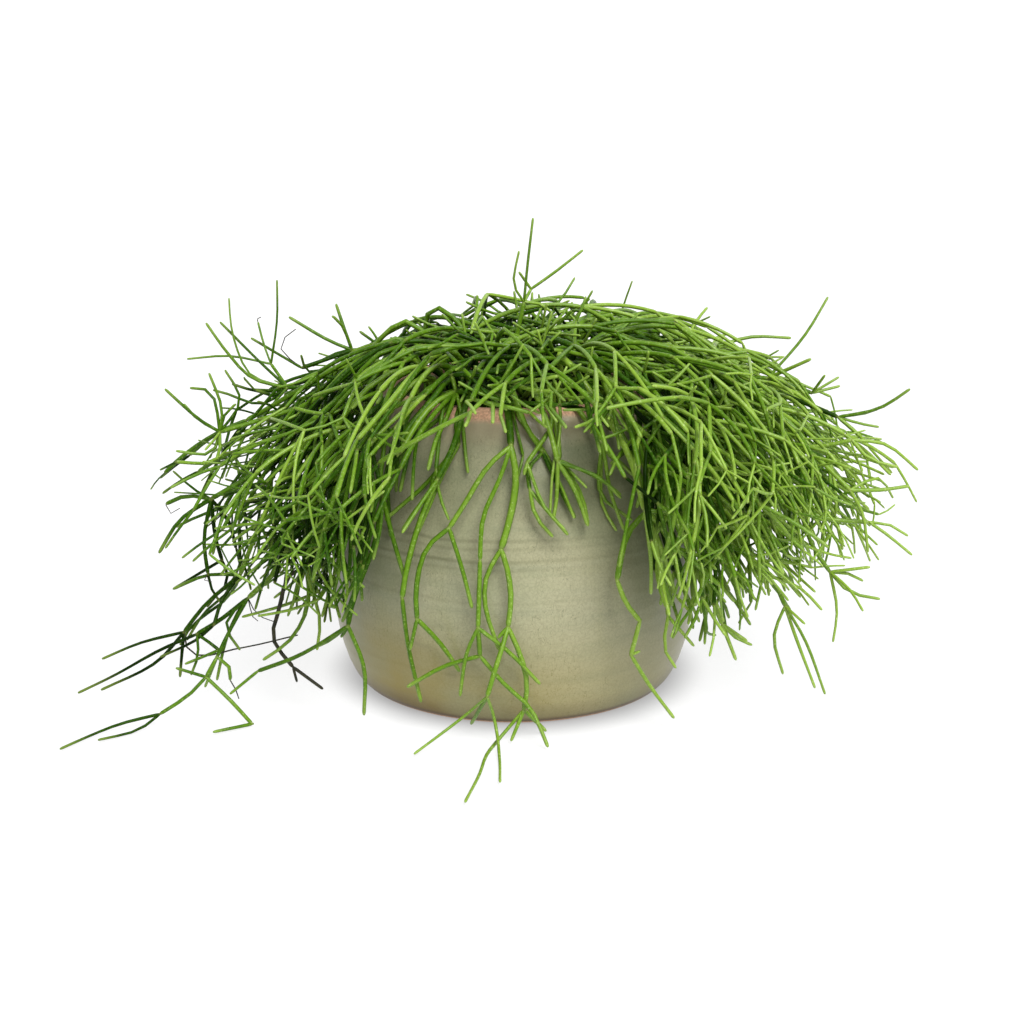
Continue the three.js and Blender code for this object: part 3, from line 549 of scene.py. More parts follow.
@dataclass(frozen=True)
class Offshoots:
    """Finer stems on a traced spray: their parents count through its own rows and then through these."""
    stems: Tuple[Row, ...]
    dry: Tuple[int, ...] = ()


TRACED_SPRAYS: Dict[str, TracedSpray] = {name: TracedSpray(*values) for name, values in {
    "front_middle": ((-6, -44), 8, 60, (
        (-1, 88, 2.0, 499,391, 508,412, 511,446), (0, 102, 2.0, 516,478, 509,522, 501,549),
        (1, 108, 1.6, 507,568, 511,598, 508,627), (1, 108, 1.5, 486,578, 485,605, 499,650),
        (2, 110, 1.3, 498,638), (2, 110, 1.5, 503,645, 496,667, 487,697),
        (2, 108, 1.5, 519,652, 527,682, 524,710), (5, 100, 1.1, 462,718, 414,754), (5, 100, 1.2, 471,724),
        (5, 100, 1.2, 495,722, 500,782), (6, 100, 1.3, 499,739, 480,773, 465,802), (6, 100, 1.3, 511,741),
        (6, 100, 1.3, 546,731), (0, 104, 1.4, 500,478, 483,518, 480,560), (13, 108, 1.4, 479,600, 478,628),
        (14, 108, 1.3, 467,652, 460,696), (14, 108, 1.3, 510,653, 540,684),
        (14, 107, 1.4, 479,642, 480,656), (17, 104, 1.4, 445,666, 407,687),
        (17, 100, 1.4, 505,685, 530,708, 548,747), (0, 100, 1.5, 490,464, 464,505, 449,528),
        (20, 106, 1.5, 427,548, 416,590, 417,619), (20, 107, 1.4, 463,572, 472,608),
        (21, 106, 1.5, 440,643, 460,671), (21, 106, 1.3, 410,650),
    )),
    "front_left_dark": ((-22, -36), 10, 74, (
        (-1, 92, 1.8, 466,405, 452,450, 437,480), (0, 104, 1.7, 422,515, 406,572, 402,598),
        (0, 100, 1.3, 420,505, 402,533), (1, 103, 1.4, 408,645, 421,702),
    )),
    "front_left_bright": ((-34, -38), 12, 66, (
        (-1, 92, 2.0, 432,400, 402,438, 383,498), (0, 98, 1.5, 392,535, 406,582),
        (0, 98, 1.5, 374,545, 352,605, 348,626), (2, 90, 1.4, 364,668, 364,715),
        (2, 80, 1.4, 300,655, 258,671), (4, 84, 1.2, 230,694), (0, 98, 1.3, 380,530, 373,560),
    )),
    "left_trail": ((-40, -22), 14, 50, (
        (-1, 62, 1.9, 352,405, 300,510, 270,578, 248,598), (0, 66, 1.6, 220,620, 197,634),
        (1, 80, 1.2, 160,650, 115,675, 78,693), (1, 70, 1.3, 206,640, 219,650),
        (0, 72, 1.5, 230,630, 217,657), (4, 80, 1.4, 206,677), (5, 90, 1.4, 190,694, 160,714),
        (6, 100, 1.2, 120,724, 60,749), (6, 100, 1.2, 140,729, 98,740), (5, 84, 1.4, 230,700, 252,724),
        (9, 90, 1.4, 213,732), (5, 84, 1.3, 176,668), (4, 78, 1.3, 230,668, 230,680),
    )),
    "left_trail_back": ((-44, -12), 18, 30, (
        (-1, 50, 1.8, 330,410, 262,520, 240,575), (0, 52, 1.5, 205,605, 184,632),
        (1, 60, 1.2, 140,643, 102,659), (1, 58, 1.3, 182,652, 180,677), (1, 66, 1.3, 158,661, 101,690),
        (0, 56, 1.4, 222,600, 214,625), (0, 40, 1.4, 208,575, 173,589),
    )),
    "left_fan": ((-46, -2), 22, 20, (
        (-1, 40, 1.8, 320,425, 260,470, 211,499), (0, 44, 1.5, 185,496, 166,504),
        (0, 48, 1.6, 180,520, 159,553), (0, 52, 1.4, 204,540, 208,574), (0, 46, 1.4, 216,540, 222,560),
        (0, 30, 1.1, 195,490, 173,471), (0, 30, 1.4, 228,520, 236,548),
    )),
    "left_edge": ((-44, 8), 24, 0, (
        (-1, 10, 1.8, 315,400, 260,420, 220,432), (0, 14, 1.3, 200,420, 165,389),
        (0, 6, 1.2, 222,410, 209,373), (0, 20, 1.4, 212,452, 176,451), (0, 26, 1.4, 216,460, 176,462),
        (0, 2, 1.1, 240,400, 225,370), (0, 0, 1.3, 210,392, 190,388),
    )),
    "left_top": ((-36, 22), 30, -30, (
        (-1, -30, 1.7, 360,362, 320,372, 288,388), (0, -34, 1.2, 262,364, 220,322),
        (0, -20, 1.3, 252,378, 206,323), (0, -40, 1.3, 271,364), (3, -44, 0.9, 277,320, 277,280),
        (3, -36, 1.0, 230,356, 187,359), (3, -48, 0.9, 264,345, 258,322),
        (0, -20, 0.9, 250,374, 238,352, 231,325, 229,298),
    )),
    "left_top_far": ((-20, 30), 34, -50, (
        (-1, -60, 1.7, 420,340, 380,352, 352,350), (0, -64, 1.4, 330,341, 289,317),
        (0, -70, 1.4, 343,325, 336,304), (0, -50, 1.5, 302,368), (3, -44, 1.2, 251,338),
        (0, -56, 1.2, 340,322, 332,316),
    )),
    "top_shoots": ((4, 4), 0, 0, (
        (-1, 0, 1.6, 516,345, 524,302), (0, 6, 1.0, 527,270, 533,218), (0, -8, 1.0, 531,289),
        (2, -12, 1.0, 555,272, 583,250), (2, 6, 1.1, 519,272), (0, 10, 0.9, 514,285, 519,251),
        (0, -4, 1.1, 540,304, 551,312),
    )),
    "right_top": ((24, 26), 32, -40, (
        (-1, -50, 1.7, 620,330, 660,345, 712,348), (0, -56, 1.4, 750,337, 791,338),
        (0, -40, 1.4, 742,349, 771,359), (0, -60, 1.2, 716,338, 727,334),
    )),
    "right_spike": ((34, 16), 30, -10, (
        (-1, 0, 1.8, 660,362, 720,378, 768,378), (0, -14, 1.2, 805,335, 828,297), (0, 10, 1.5, 811,359),
        (0, 4, 1.5, 812,393), (3, 2, 1.1, 839,377), (3, 10, 1.2, 825,375), (3, 0, 1.2, 840,386),
    )),
    "right_far": ((42, 8), 26, 0, (
        (-1, 20, 1.8, 690,372, 770,390, 838,417), (0, 26, 1.3, 880,408, 910,389),
        (0, 20, 1.1, 862,424, 879,427), (0, 34, 1.4, 862,438, 868,446), (3, 30, 1.1, 892,473),
        (0, 10, 1.1, 870,412, 901,396),
    )),
    "right_reach": ((46, -2), 22, 20, (
        (-1, 40, 2.0, 690,385, 740,420, 774,443), (0, 50, 1.6, 815,447, 852,440),
        (1, 50, 1.3, 885,444, 918,470), (1, 56, 1.4, 868,458, 897,467), (0, 60, 1.7, 808,452, 850,490),
        (4, 66, 1.5, 880,490, 909,486), (4, 60, 1.1, 878,478, 893,498), (4, 66, 1.3, 862,512, 868,552),
    )),
    "right_low": ((44, -12), 18, 34, (
        (-1, 60, 1.9, 680,400, 740,460, 800,510), (0, 66, 1.6, 835,520, 869,522),
        (1, 70, 1.1, 890,525, 908,536), (1, 74, 1.2, 885,533, 912,555), (0, 70, 1.5, 812,545, 830,572),
        (4, 80, 1.3, 850,592, 880,599), (4, 74, 1.3, 870,567), (4, 80, 1.2, 850,590, 863,611),
        (4, 72, 1.2, 837,610, 833,642), (4, 70, 1.2, 850,574, 863,581),
    )),
    "right_drop": ((40, -22), 14, 44, (
        (-1, 70, 1.8, 660,410, 720,500, 757,572), (0, 74, 1.5, 775,585, 785,606),
        (1, 78, 1.3, 795,635, 815,688), (1, 78, 1.3, 805,640, 825,694), (1, 70, 1.3, 774,636, 783,674),
        (1, 84, 1.2, 805,624), (0, 80, 1.3, 800,588, 822,610),
    )),
    "right_front_drop": ((30, -34), 12, 56, (
        (-1, 84, 1.9, 632,420, 670,500, 700,580), (0, 82, 1.5, 712,600, 722,624), (1, 80, 1.4, 736,660),
        (1, 76, 1.3, 747,641), (1, 84, 1.2, 736,638, 752,645), (0, 78, 1.3, 722,600, 729,618),
    )),
    "right_front": ((20, -40), 10, 60, (
        (-1, 96, 2.0, 597,396, 625,442, 640,480, 646,512), (0, 106, 1.9, 628,533, 617,580),
        (1, 104, 1.5, 626,603, 640,621), (2, 104, 1.5, 631,655), (3, 96, 1.4, 650,686, 674,718),
        (3, 104, 1.1, 640,651), (0, 100, 1.3, 672,520, 695,533), (0, 104, 1.3, 664,532, 674,548),
        (0, 100, 1.6, 660,545, 668,590, 668,616), (8, 96, 1.2, 694,646), (8, 100, 1.2, 665,650, 676,668),
        (0, 104, 1.4, 657,560),
    )),
    "front_right_short": ((8, -42), 8, 75, (
        (-1, 90, 1.6, 536,396, 548,425, 558,462), (0, 96, 1.5, 575,490, 588,526),
        (0, 94, 1.2, 600,478, 621,498), (0, 96, 1.3, 556,505, 553,520),
    )),
    "front_right_fine": ((0, -34), 6, 75, (
        (-1, 86, 1.4, 516,400, 528,430, 541,450), (0, 92, 1.4, 558,485, 575,518),
        (0, 96, 1.2, 528,470, 530,490), (2, 100, 1.2, 535,515, 553,537), (2, 98, 1.2, 545,508, 568,535),
    )),
}.items()}


# Stems too fine for the nodes: over the rim, and on traced sprays. Each goes with the spray it is under

RIM_STEMS: Dict[str, Tuple[TracedSpray, ...]] = {
    name: tuple(TracedSpray(*values) for values in rows) for name, rows in {
    "front_left_dark": (
        ((-10, -56), 8, 60, (
            (-1, 72, 1.8, 497,389, 476,390, 456,392), (0, 62, 1.3, 452,375),
            (0, 84, 1.7, 440,399, 425,413, 413,430, 400,453), (2, 76, 1.4, 392,463, 386,480, 380,505),
            (0, 84, 1.1, 461,405, 463,425, 465,450, 468,473), (0, 84, 1.5, 448,415, 436,440, 428,470),
            (0, 78, 1.3, 441,420, 425,430, 400,458, 390,472),
        )),
        ((-24, -51), 8, 60, (
            (-1, 84, 1.3, 466,396, 462,420, 460,444), (0, 80, 1.4, 450,455, 425,485, 402,505, 385,520),
            (0, 86, 1.2, 445,470, 438,485, 430,505, 417,535),
        )),
    ),
    "left_trail": (
        ((-52, -22), 10, 44, (
            (-1, 74, 1.6, 372,404, 335,480, 318,540, 306,566), (0, 78, 1.4, 308,605, 290,640, 263,660),
            (0, 76, 1.3, 312,590, 320,620, 317,650), (0, 76, 1.3, 290,575, 279,610, 273,638, 293,667),
            (0, 76, 1.2, 318,592), (4, 74, 1.2, 285,605, 242,617), (0, 70, 1.2, 296,580, 274,598),
            (3, 76, 1.2, 308,678, 323,689), (3, 76, 1.0, 297,682),
        ), (3, 7, 8)),
        ((-50, -28), 9, 46, (
            (-1, 84, 1.6, 385,402, 358,470, 345,540, 334,575), (0, 88, 1.2, 322,617),
            (0, 88, 1.2, 335,600, 340,618), (0, 82, 1.4, 318,600), (3, 76, 1.1, 290,610, 258,616),
        )),
    ),
    "front_left_bright": (
        ((-42, -38), 8, 52, (
            (-1, 74, 1.4, 428,392, 412,408, 400,440, 393,455), (0, 72, 1.2, 388,478, 389,510, 395,535),
        )),
        ((-35, -45), 8, 56, (
            (-1, 82, 1.2, 446,394, 440,430, 436,470), (0, 84, 1.1, 430,490, 415,510, 402,530),
            (0, 88, 1.0, 440,497, 449,520),
        )),
        ((-38, -38), 10, 40, (
            (-1, 72, 1.5, 440,384, 420,396, 402,424), (0, 80, 1.4, 392,448, 384,486),
            (0, 84, 1.3, 398,456, 396,492), (0, 76, 1.4, 384,436, 368,466),
        )),
        ((-42, -32), 10, 34, (
            (-1, 64, 1.5, 430,376, 408,388, 388,416), (0, 70, 1.4, 376,442, 366,482),
            (0, 66, 1.3, 370,432, 350,460), (0, 74, 1.3, 384,448, 380,480),
        )),
        ((-30, -44), 8, 50, (
            (-1, 80, 1.5, 452,392, 434,404, 418,430), (0, 86, 1.4, 408,456, 400,492),
            (0, 88, 1.3, 414,462, 412,500), (0, 82, 1.3, 402,440, 390,470),
        )),
        ((-46, -22), 12, 20, (
            (-1, 40, 1.5, 428,372, 404,374, 380,392), (0, 46, 1.3, 366,408, 352,436),
            (0, 36, 1.3, 362,396, 340,410),
        )),
        ((-44, -28), 12, 24, (
            (-1, 50, 1.5, 436,380, 412,384, 392,404), (0, 60, 1.3, 380,424, 372,452),
            (0, 56, 1.3, 372,418, 356,440),
        )),
        ((-48, -14), 16, 10, (
            (-1, 24, 1.4, 420,362, 398,364, 372,376), (0, 30, 1.2, 350,388, 334,408),
        )),
    ),
    "front_right_fine": (
        ((2, -57), 8, 68, (
            (-1, 90, 1.1, 513,398, 520,418, 538,442, 553,468), (0, 96, 1.0, 567,500, 574,518),
        )),
        ((-5, -57), 8, 68, (
            (-1, 84, 0.9, 508,398, 515,420, 523,455), (0, 88, 0.8, 518,478),
        )),
        ((-15, -55), 8, 68, (
            (-1, 74, 1.3, 500,400, 530,403, 560,405),
        )),
    ),
    "front_right_short": (
        ((16, -54), 8, 60, (
            (-1, 84, 1.6, 549,383, 551,400, 557,430, 559,460), (0, 92, 1.4, 570,475, 583,500, 588,525),
            (0, 90, 0.9, 587,488), (0, 88, 1.0, 575,467, 605,482, 621,495),
        )),
        ((21, -52), 8, 58, (
            (-1, 94, 1.0, 555,380, 560,405, 559,440, 553,468, 550,513),
        )),
        ((10, -56), 8, 62, (
            (-1, 84, 1.3, 545,392, 552,425, 540,444, 527,463), (0, 88, 1.2, 524,475),
            (0, 96, 1.1, 545,508, 565,530),
        )),
    ),
    "right_front": (
        ((27, -50), 8, 56, (
            (-1, 80, 1.5, 558,388, 582,415, 602,442), (0, 80, 1.3, 605,452, 615,458, 633,475),
            (0, 86, 1.2, 606,465, 610,490, 624,530), (0, 80, 1.1, 601,480, 594,500, 603,525),
            (0, 84, 1.1, 601,495, 622,513, 632,520),
        )),
        ((36, -45), 8, 50, (
            (-1, 74, 1.4, 596,385, 627,420, 638,450, 643,465), (0, 76, 1.2, 655,490), (0, 74, 1.2, 655,476),
        )),
        ((41, -40), 8, 44, (
            (-1, 56, 1.3, 598,378, 620,400, 637,411), (0, 70, 1.2, 655,440, 668,470),
        )),
        ((32, -38), 14, 72, (
            (-1, 112, 2.0, 591,393, 612,425, 631,460, 645,510), (0, 118, 1.4, 676,515, 697,531),
            (0, 120, 1.4, 664,530, 676,548), (0, 120, 1.3, 655,535, 659,562),
            (0, 116, 1.4, 651,560, 651,594), (0, 118, 1.3, 664,556, 675,594), (5, 114, 1.2, 690,612),
        )),
        ((40, -32), 18, 60, (
            (-1, 96, 1.7, 607,390, 632,422, 662,447, 690,473), (0, 106, 1.4, 712,490, 731,507),
            (0, 104, 1.3, 700,492, 704,514), (0, 104, 1.3, 718,468, 748,475),
        )),
        ((46, -16), 20, 44, (
            (-1, 84, 1.6, 655,395, 680,409, 702,428), (0, 90, 1.5, 711,446, 717,466),
            (0, 90, 1.3, 722,435, 742,438),
        )),
        ((46, -24), 12, 20, (
            (-1, 44, 1.4, 600,376, 622,386, 644,404), (0, 50, 1.2, 660,424, 668,446),
        )),
    ),
}.items()}

OFFSHOOTS: Dict[str, Offshoots] = {
    "left_trail": Offshoots((
        (0, 58, 1.4, 238,612, 226,640, 217,680), (0, 74, 1.2, 226,624, 240,650),
        (1, 70, 1.1, 198,655, 191,675), (3, 72, 1.2, 200,658, 185,664), (4, 70, 1.2, 205,687),
        (0, 54, 0.4, 258,615, 275,622), (0, 52, 0.4, 253,617, 258,621), (12, 80, 0.5, 236,690, 239,699),
    ), (5, 6, 7)),
    "left_trail_back": Offshoots((
        (0, 40, 1.3, 225,595, 205,612, 187,640), (0, 36, 1.1, 236,586, 222,603),
        (8, 44, 1.2, 205,615, 190,628, 180,645), (1, 66, 0.6, 190,652, 240,648, 298,635),
        (5, 60, 1.2, 196,640, 160,657),
    ), (3,)),
    "left_fan": Offshoots((
        (3, 50, 1.1, 212,590, 220,602), (4, 46, 1.2, 228,580, 212,600, 207,607),
        (6, 34, 1.1, 240,565, 225,590), (6, 36, 1.0, 246,570, 251,590), (4, 40, 1.2, 205,570, 173,589),
        (1, 46, 0.4, 166,511, 172,514, 180,508), (3, 52, 0.4, 204,580, 212,582),
    ), (5, 6)),
    "left_edge": Offshoots((
        (0, 6, 1.2, 196,418, 184,404), (0, 30, 1.1, 214,440, 205,450), (4, 30, 1.0, 160,470),
        (0, 8, 1.1, 226,412, 236,404),
    )),
    "left_top": Offshoots((
        (0, -30, 1.3, 262,392, 232,384), (0, -26, 1.0, 250,388, 244,377), (0, -20, 1.5, 276,396, 256,390),
        (0, -26, 1.2, 262,404, 225,393, 213,390), (6, -48, 0.4, 257,319, 261,317),
    ), (4,)),
    "left_top_far": Offshoots((
        (0, -40, 1.1, 310,372, 301,355), (0, -60, 1.3, 340,352, 312,366),
        (3, -46, 0.45, 290,359, 281,349, 282,342, 288,334, 296,329),
    ), (2,)),
    "front_left_bright": Offshoots((
        (2, 92, 1.2, 344,633, 341,637), (2, 86, 1.3, 330,640, 318,646),
    )),
}


@dataclass(frozen=True)
class TracedRule:
    """How traced sprays are tried: each try moves a stem a little toward or away from the viewer."""
    tries: int = 40
    full_swing: float = 10
    near: Pair = (-14, 14)
    far: Pair = (-12, 12)
    side_far: Pair = (-14, 14)
    lift: Pair = (-6, 16)
    turn: Pair = (-0.2, 0.2)
    crossing: float = 62
    slack: float = 0.8
    joint: float = 8


@dataclass(frozen=True)
class CrownRule:
    """How sprays stand up from the middle of the soil and spread level over it."""
    count: int = 9
    tries: int = 40
    inner: float = 12
    spread: float = 20
    spacing: float = 0.37
    turn: Pair = (-0.5, 0.5)
    lean: Pair = (6, 24)
    height: Pair = (176, 192)
    under: float = 4
    branches: int = 4
    branch_reach: float = 120
    twigs: int = 2
    twig_reach: float = 150


@dataclass(frozen=True)
class ArchingRule:
    """How sprays rise over the rim to their first joint and fall outward to their second."""
    tries: int = 400
    falls: int = 8
    spacing: float = 0.61803
    clear_front: float = 26
    root_radius: float = 34
    swing: float = 0.16
    more_swing: float = 0.9
    rim: Pair = (50, 68)
    lift: Pair = (5, 15)
    shell_lift: float = 20
    level: float = 0.1
    swerve: Pair = (-0.25, 0.25)
    least_radius: float = 86
    share: float = 0.5
    shell_share: float = 0.26
    share_slack: Pair = (-8, 8)
    under: float = 4
    depth: Pair = (10, 66)
    plunge: float = 0.9
    plunge_share: float = 0.5
    fall_steps: int = 3
    rim_branches: int = 3
    rim_twigs: int = 2
    rim_shortfall: float = 30
    limb_branches: int = 3
    limb_twigs: int = 4


@dataclass(frozen=True)
class WhorlForm:
    """A whorl's stems: length, angle from the parent, pull of the flow, droop over 40 mm, radius, tries.

    curl is how far a stem may end turned aside, as a share of its own direction, ragged how far its tip
    may pass the mass's outline, in mm, and level how much of its rise or fall is taken out.
    """
    size: Pair
    angle: Pair
    pull: float
    droop: float
    radius: float
    tries: int
    curl: float = 0.0
    ragged: float = 0.0
    level: float = 0.0


MAIN_STEM = 1.9
LIMB = 1.7
BRANCH = 1.5
TWIG = 1.3
TIP = 1.1
SPRAY_COUNT = 56
ROOT_DEPTH = 12.0
ROOT_FIELD_RADIUS = 50.0
COLLAR = 3.0
WHORL_ROLL: Pair = (-0.6, 0.6)
WHORL_REACH: Pair = (0.84, 1.0)
DROOP_LENGTH = 40.0
LONG_STEM = 30.0
RAGGED_POWER = 3
SEED = 4107
TRACED_SEED = (0, 97)
CROWN_SEED = (303, 131)
ARCHING_SEED = (5003, 131)
CROWN_TIP_SEED = (20011, 17)
OUTER_TIP_SEED = (40009, 17)
RIM_SEED = (7001, 61)
CROWN_BRANCH = WhorlForm((40, 62), (0.25, 1.35), 0.35, 0.5, BRANCH, 16)
CROWN_TWIG = WhorlForm((28, 50), (0.25, 0.8), 0.4, 0.4, TWIG, 12)
RIM_BRANCH = WhorlForm((40, 70), (0.25, 1.0), 0.5, 0.5, BRANCH, 16)
RIM_TWIG = WhorlForm((28, 48), (0.25, 0.9), 0.5, 0.4, TWIG, 10)
LIMB_BRANCH = WhorlForm((40, 66), (0.25, 0.8), 0.5, 0.5, BRANCH, 16)
LIMB_TWIG = WhorlForm((26, 48), (0.25, 1.0), 0.5, 0.4, TWIG, 10)
CROWN_TIP = WhorlForm((22, 30), (0.3, 1.1), 0.1, 0.3, TIP, 10)
OUTER_TIP = WhorlForm((20, 30), (0.1, 0.7), 0.25, 0.3, TIP, 8)


@dataclass(frozen=True)
class TipRule:
    """Last stems at the free ends of crown and arching sprays.

    nearest and furthest are how far from the axis such ends lie, lowest how high at least, and further
    how much further than the mass the stems may reach.
    """
    nearest: float
    furthest: float
    lowest: float
    further: float
    form: WhorlForm


CROWN_TIPS = TipRule(nearest=0, furthest=112, lowest=156, further=-60, form=CROWN_TIP)
OUTER_TIPS = TipRule(nearest=90, furthest=400, lowest=48, further=16, form=OUTER_TIP)


def draws_for(seeds: Tuple[int, int], spray: int) -> Draws:
    """The draws of one spray."""
    return Draws(SEED + seeds[0] + seeds[1] * spray)


class RootField:
    """Where sprays leave the soil, in a sunflower's pattern, so that they keep their distance."""

    def __init__(self) -> None:
        """Lays out one place for each spray."""
        self.free: List[Point] = []
        for k in range(SPRAY_COUNT):
            rho = ROOT_FIELD_RADIUS * math.sqrt((k + 0.5) / SPRAY_COUNT)
            self.free.append(out_at(k * GOLDEN_TURN, rho, POT.soil_z))

    def nearest(self, x: float, y: float) -> Point:
        """Takes the free place nearest to a point and returns it."""
        best = min(self.free, key=lambda p: (p[0] - x) ** 2 + (p[1] - y) ** 2)
        self.free.remove(best)
        return best


def root_route(root: Point) -> List[Point]:
    """The first, upright stretch of a stem that stands in the soil."""
    return [(root[0], root[1], POT.soil_z - ROOT_DEPTH), (root[0], root[1], POT.soil_z + COLLAR)]


def cone_direction(axis: Point, angle: float, roll: float) -> Point:
    """The direction that makes an angle with an axis, turned about it by roll."""
    side = unit(cross(axis, ASKEW))
    other = cross(axis, side)
    out = plus(ORIGIN, axis, math.cos(angle))
    out = plus(out, side, math.cos(roll) * math.sin(angle))
    return plus(out, other, math.sin(roll) * math.sin(angle))


class Plant:
    """The whole plant, grown spray by spray in the order of its nodes."""

    traced: TracedRule = TracedRule()
    crown: CrownRule = CrownRule()
    arching: ArchingRule = ArchingRule()

    def __init__(self) -> None:
        """Starts with bare soil."""
        self.thicket = Thicket()
        self.roots = RootField()
        self.mass = MASS
        self.names: List[str] = []
        self.grown_traced: Dict[str, List[Stem]] = {}

    def grow(self) -> None:
        """Grows the stems that the nodes have too."""
        for spray, (name, shape) in enumerate(TRACED_SPRAYS.items()):
            root = self.roots.nearest(*shape.root)
            self.grown_traced[name] = self.grow_traced(spray, shape, root, draws_for(TRACED_SEED, spray))
            self.names.append(f"spray_{name}")
        for index in range(self.crown.count):
            self.grow_crown(len(self.names), index)
            self.names.append(f"spray_crown_{index + 1}")
        for index in range(SPRAY_COUNT - len(self.names)):
            self.grow_arching(len(self.names), index)
            self.names.append(f"spray_arching_{index + 1}")
        self.grow_tips(CROWN_TIP_SEED, CROWN_TIPS)
        self.grow_tips(OUTER_TIP_SEED, OUTER_TIPS)

    def fits(self, route: Sequence[Point], radius: float, spray: int, free: float, joint: float) -> bool:
        """True where a stem has room from the pot past its first free mm, and from others as spare_room."""
        return (not touches_pot(route, radius, free)
                and self.thicket.spare_room(route, radius, spray, joint) >= 0)

    def main_route(self, shape: TracedSpray, root: Point, stem: Row, swing: float,
                   draws: Draws) -> List[Point]:
        """One try at a traced stem that rises from the soil.

        Args:
            shape: The spray.
            root: Where the stem leaves the soil.
            stem: The stem's row in the spray.
            swing: How far this try may move the stem, from 0 to 1.
            draws: The spray's draws.

        Returns:
            The stem's points.
        """
        rule = self.traced
        near = shape.near + swing * draws.between(*rule.near)
        far = stem[1] + swing * draws.between(*rule.far)
        rise = shape.lift + swing * draws.between(*rule.lift)
        turn = swing * draws.between(*rule.turn)
        pixels = pixels_of(stem)
        last = max(1, len(pixels) - 1)
        seen = [VIEW.seen_at(px, py, near + (far - near) * i / last) for i, (px, py) in enumerate(pixels)]
        start = root_route(root)
        if from_axis(seen[0]) > POT.rim_radius:
            start.append(out_at(azimuth_of(seen[0]) + turn, rule.crossing, POT.height + rise))
        route = smooth_route([*start, *seen], UP, None)
        margin = stem[2] + POT.pot_gap
        return route[:2] + [POT.pushed_clear(p, margin) for p in route[2:]]

    def side_route(self, start: Point, stem: Row, swing: float, draws: Draws) -> List[Point]:
        """One try at a traced stem that grows on from another's end."""
        far = stem[1] + swing * draws.between(*self.traced.side_far)
        pixels = pixels_of(stem)
        margin = stem[2] + POT.pot_gap
        seen = []
        for i, (px, py) in enumerate(pixels):
            toward = -start[1] + (far + start[1]) * ((i + 1) / len(pixels))
            seen.append(POT.pushed_clear(VIEW.seen_at(px, py, toward), margin))
        route = smooth_route([start, *seen], None, None)
        return route[:1] + [POT.pushed_clear(p, margin) for p in route[1:]]

    def grow_traced(self, spray: int, shape: TracedSpray, root: Point, draws: Draws) -> List[Stem]:
        """Grows stems along their pixels in the photograph.

        Args:
            spray: The spray that they are part of.
            shape: The stems.
            root: Where they leave the soil.
            draws: Their draws.

        Returns:
            The stems, in the order of their rows.
        """
        rule = self.traced
        grown: List[Stem] = []
        for row in shape.stems:
            parent = None if row[0] < 0 else grown[int(row[0])]
            radius = row[2]
            best: Optional[Tuple[float, List[Point]]] = None
            for attempt in range(rule.tries):
                swing = min(1.0, attempt / rule.full_swing)
                if parent is None:
                    route = self.main_route(shape, root, row, swing, draws)
                else:
                    route = self.side_route(parent.end, row, swing, draws)
                spare = self.thicket.spare_room(route, radius, spray, rule.joint if parent else 0)
                if parent is None and touches_pot(route, radius - rule.slack, ROOM.joint_reach):
                    spare -= ROOM.free
                if best is None or spare > best[0]:
                    best = (spare, route)
                if spare >= 0:
                    break
            skin = Skin.DRY if len(grown) in shape.dry else Skin.GREEN
            grown.append(self.thicket.settle(Stem(spray, parent, best[1], radius, skin=skin)))
        return grown

    def grow_over_rim(self) -> None:
        """Grows the finer stems over the rim and those that the traced sprays carry."""
        order = list(TRACED_SPRAYS)
        for name, shapes in RIM_STEMS.items():
            spray = order.index(name)
            for index, shape in enumerate(shapes):
                draws = Draws(SEED + RIM_SEED[0] + RIM_SEED[1] * spray + index)
                self.grow_traced(spray, shape, (*shape.root, POT.soil_z), draws)
        for name, shoots in OFFSHOOTS.items():
            rows = self.grown_traced[name]
            for index, row in enumerate(shoots.stems):
                parent = rows[int(row[0])]
                route = self.side_route(parent.end, row, 0.0, Draws(SEED))
                skin = Skin.DRY if index in shoots.dry else Skin.GREEN
                rows.append(self.thicket.settle(Stem(parent.spray, parent, route, row[2], skin=skin)))

    def grow_stem(self, parent: Stem, draws: Draws, roll: float, form: WhorlForm,
                  reach: float) -> Optional[Stem]:
        """Grows one stem of a whorl where it finds room.

        Args:
            parent: The stem that it grows from.
            draws: The spray's draws.
            roll: Its turn about the parent's direction.
            form: The whorl's form.
            reach: How far the mass reaches here.

        Returns:
            The stem, or None where none of the tries finds room.
        """
        start = parent.end
        past = form.ragged * draws.next() ** RAGGED_POWER if form.ragged else 0.0
        for _ in range(form.tries):
            angle = draws.between(*form.angle)
            turn = roll + draws.between(*WHORL_ROLL)
            size = draws.between(*form.size)
            leave = cone_direction(parent.end_way, angle, turn)
            leave = unit(plus(leave, self.mass.flow_at(start), form.pull))
            if form.level:
                leave = unit((leave[0], leave[1], leave[2] * (1 - form.level)))
            arrive = unit(plus(leave, UP, -form.droop * size / DROOP_LENGTH))
            if form.curl:
                aside = cone_direction(leave, math.pi / 2, draws.between(0, FULL_TURN))
                arrive = unit(plus(arrive, aside, form.curl * draws.next()))
            end = plus(start, unit(plus(leave, arrive)), size)
            if self.mass.outside(end, reach * draws.between(*WHORL_REACH) + past, past):
                continue
            steps = 2 if size > LONG_STEM else 1
            route = [start] + [on_curve(start, end, leave, arrive, (j + 1) / steps) for j in range(steps)]
            if self.fits(route, form.radius, parent.spray, ROOM.joint_reach, ROOM.joint_reach):
                return self.thicket.settle(Stem(parent.spray, parent, route, form.radius, leave, arrive))
        return None

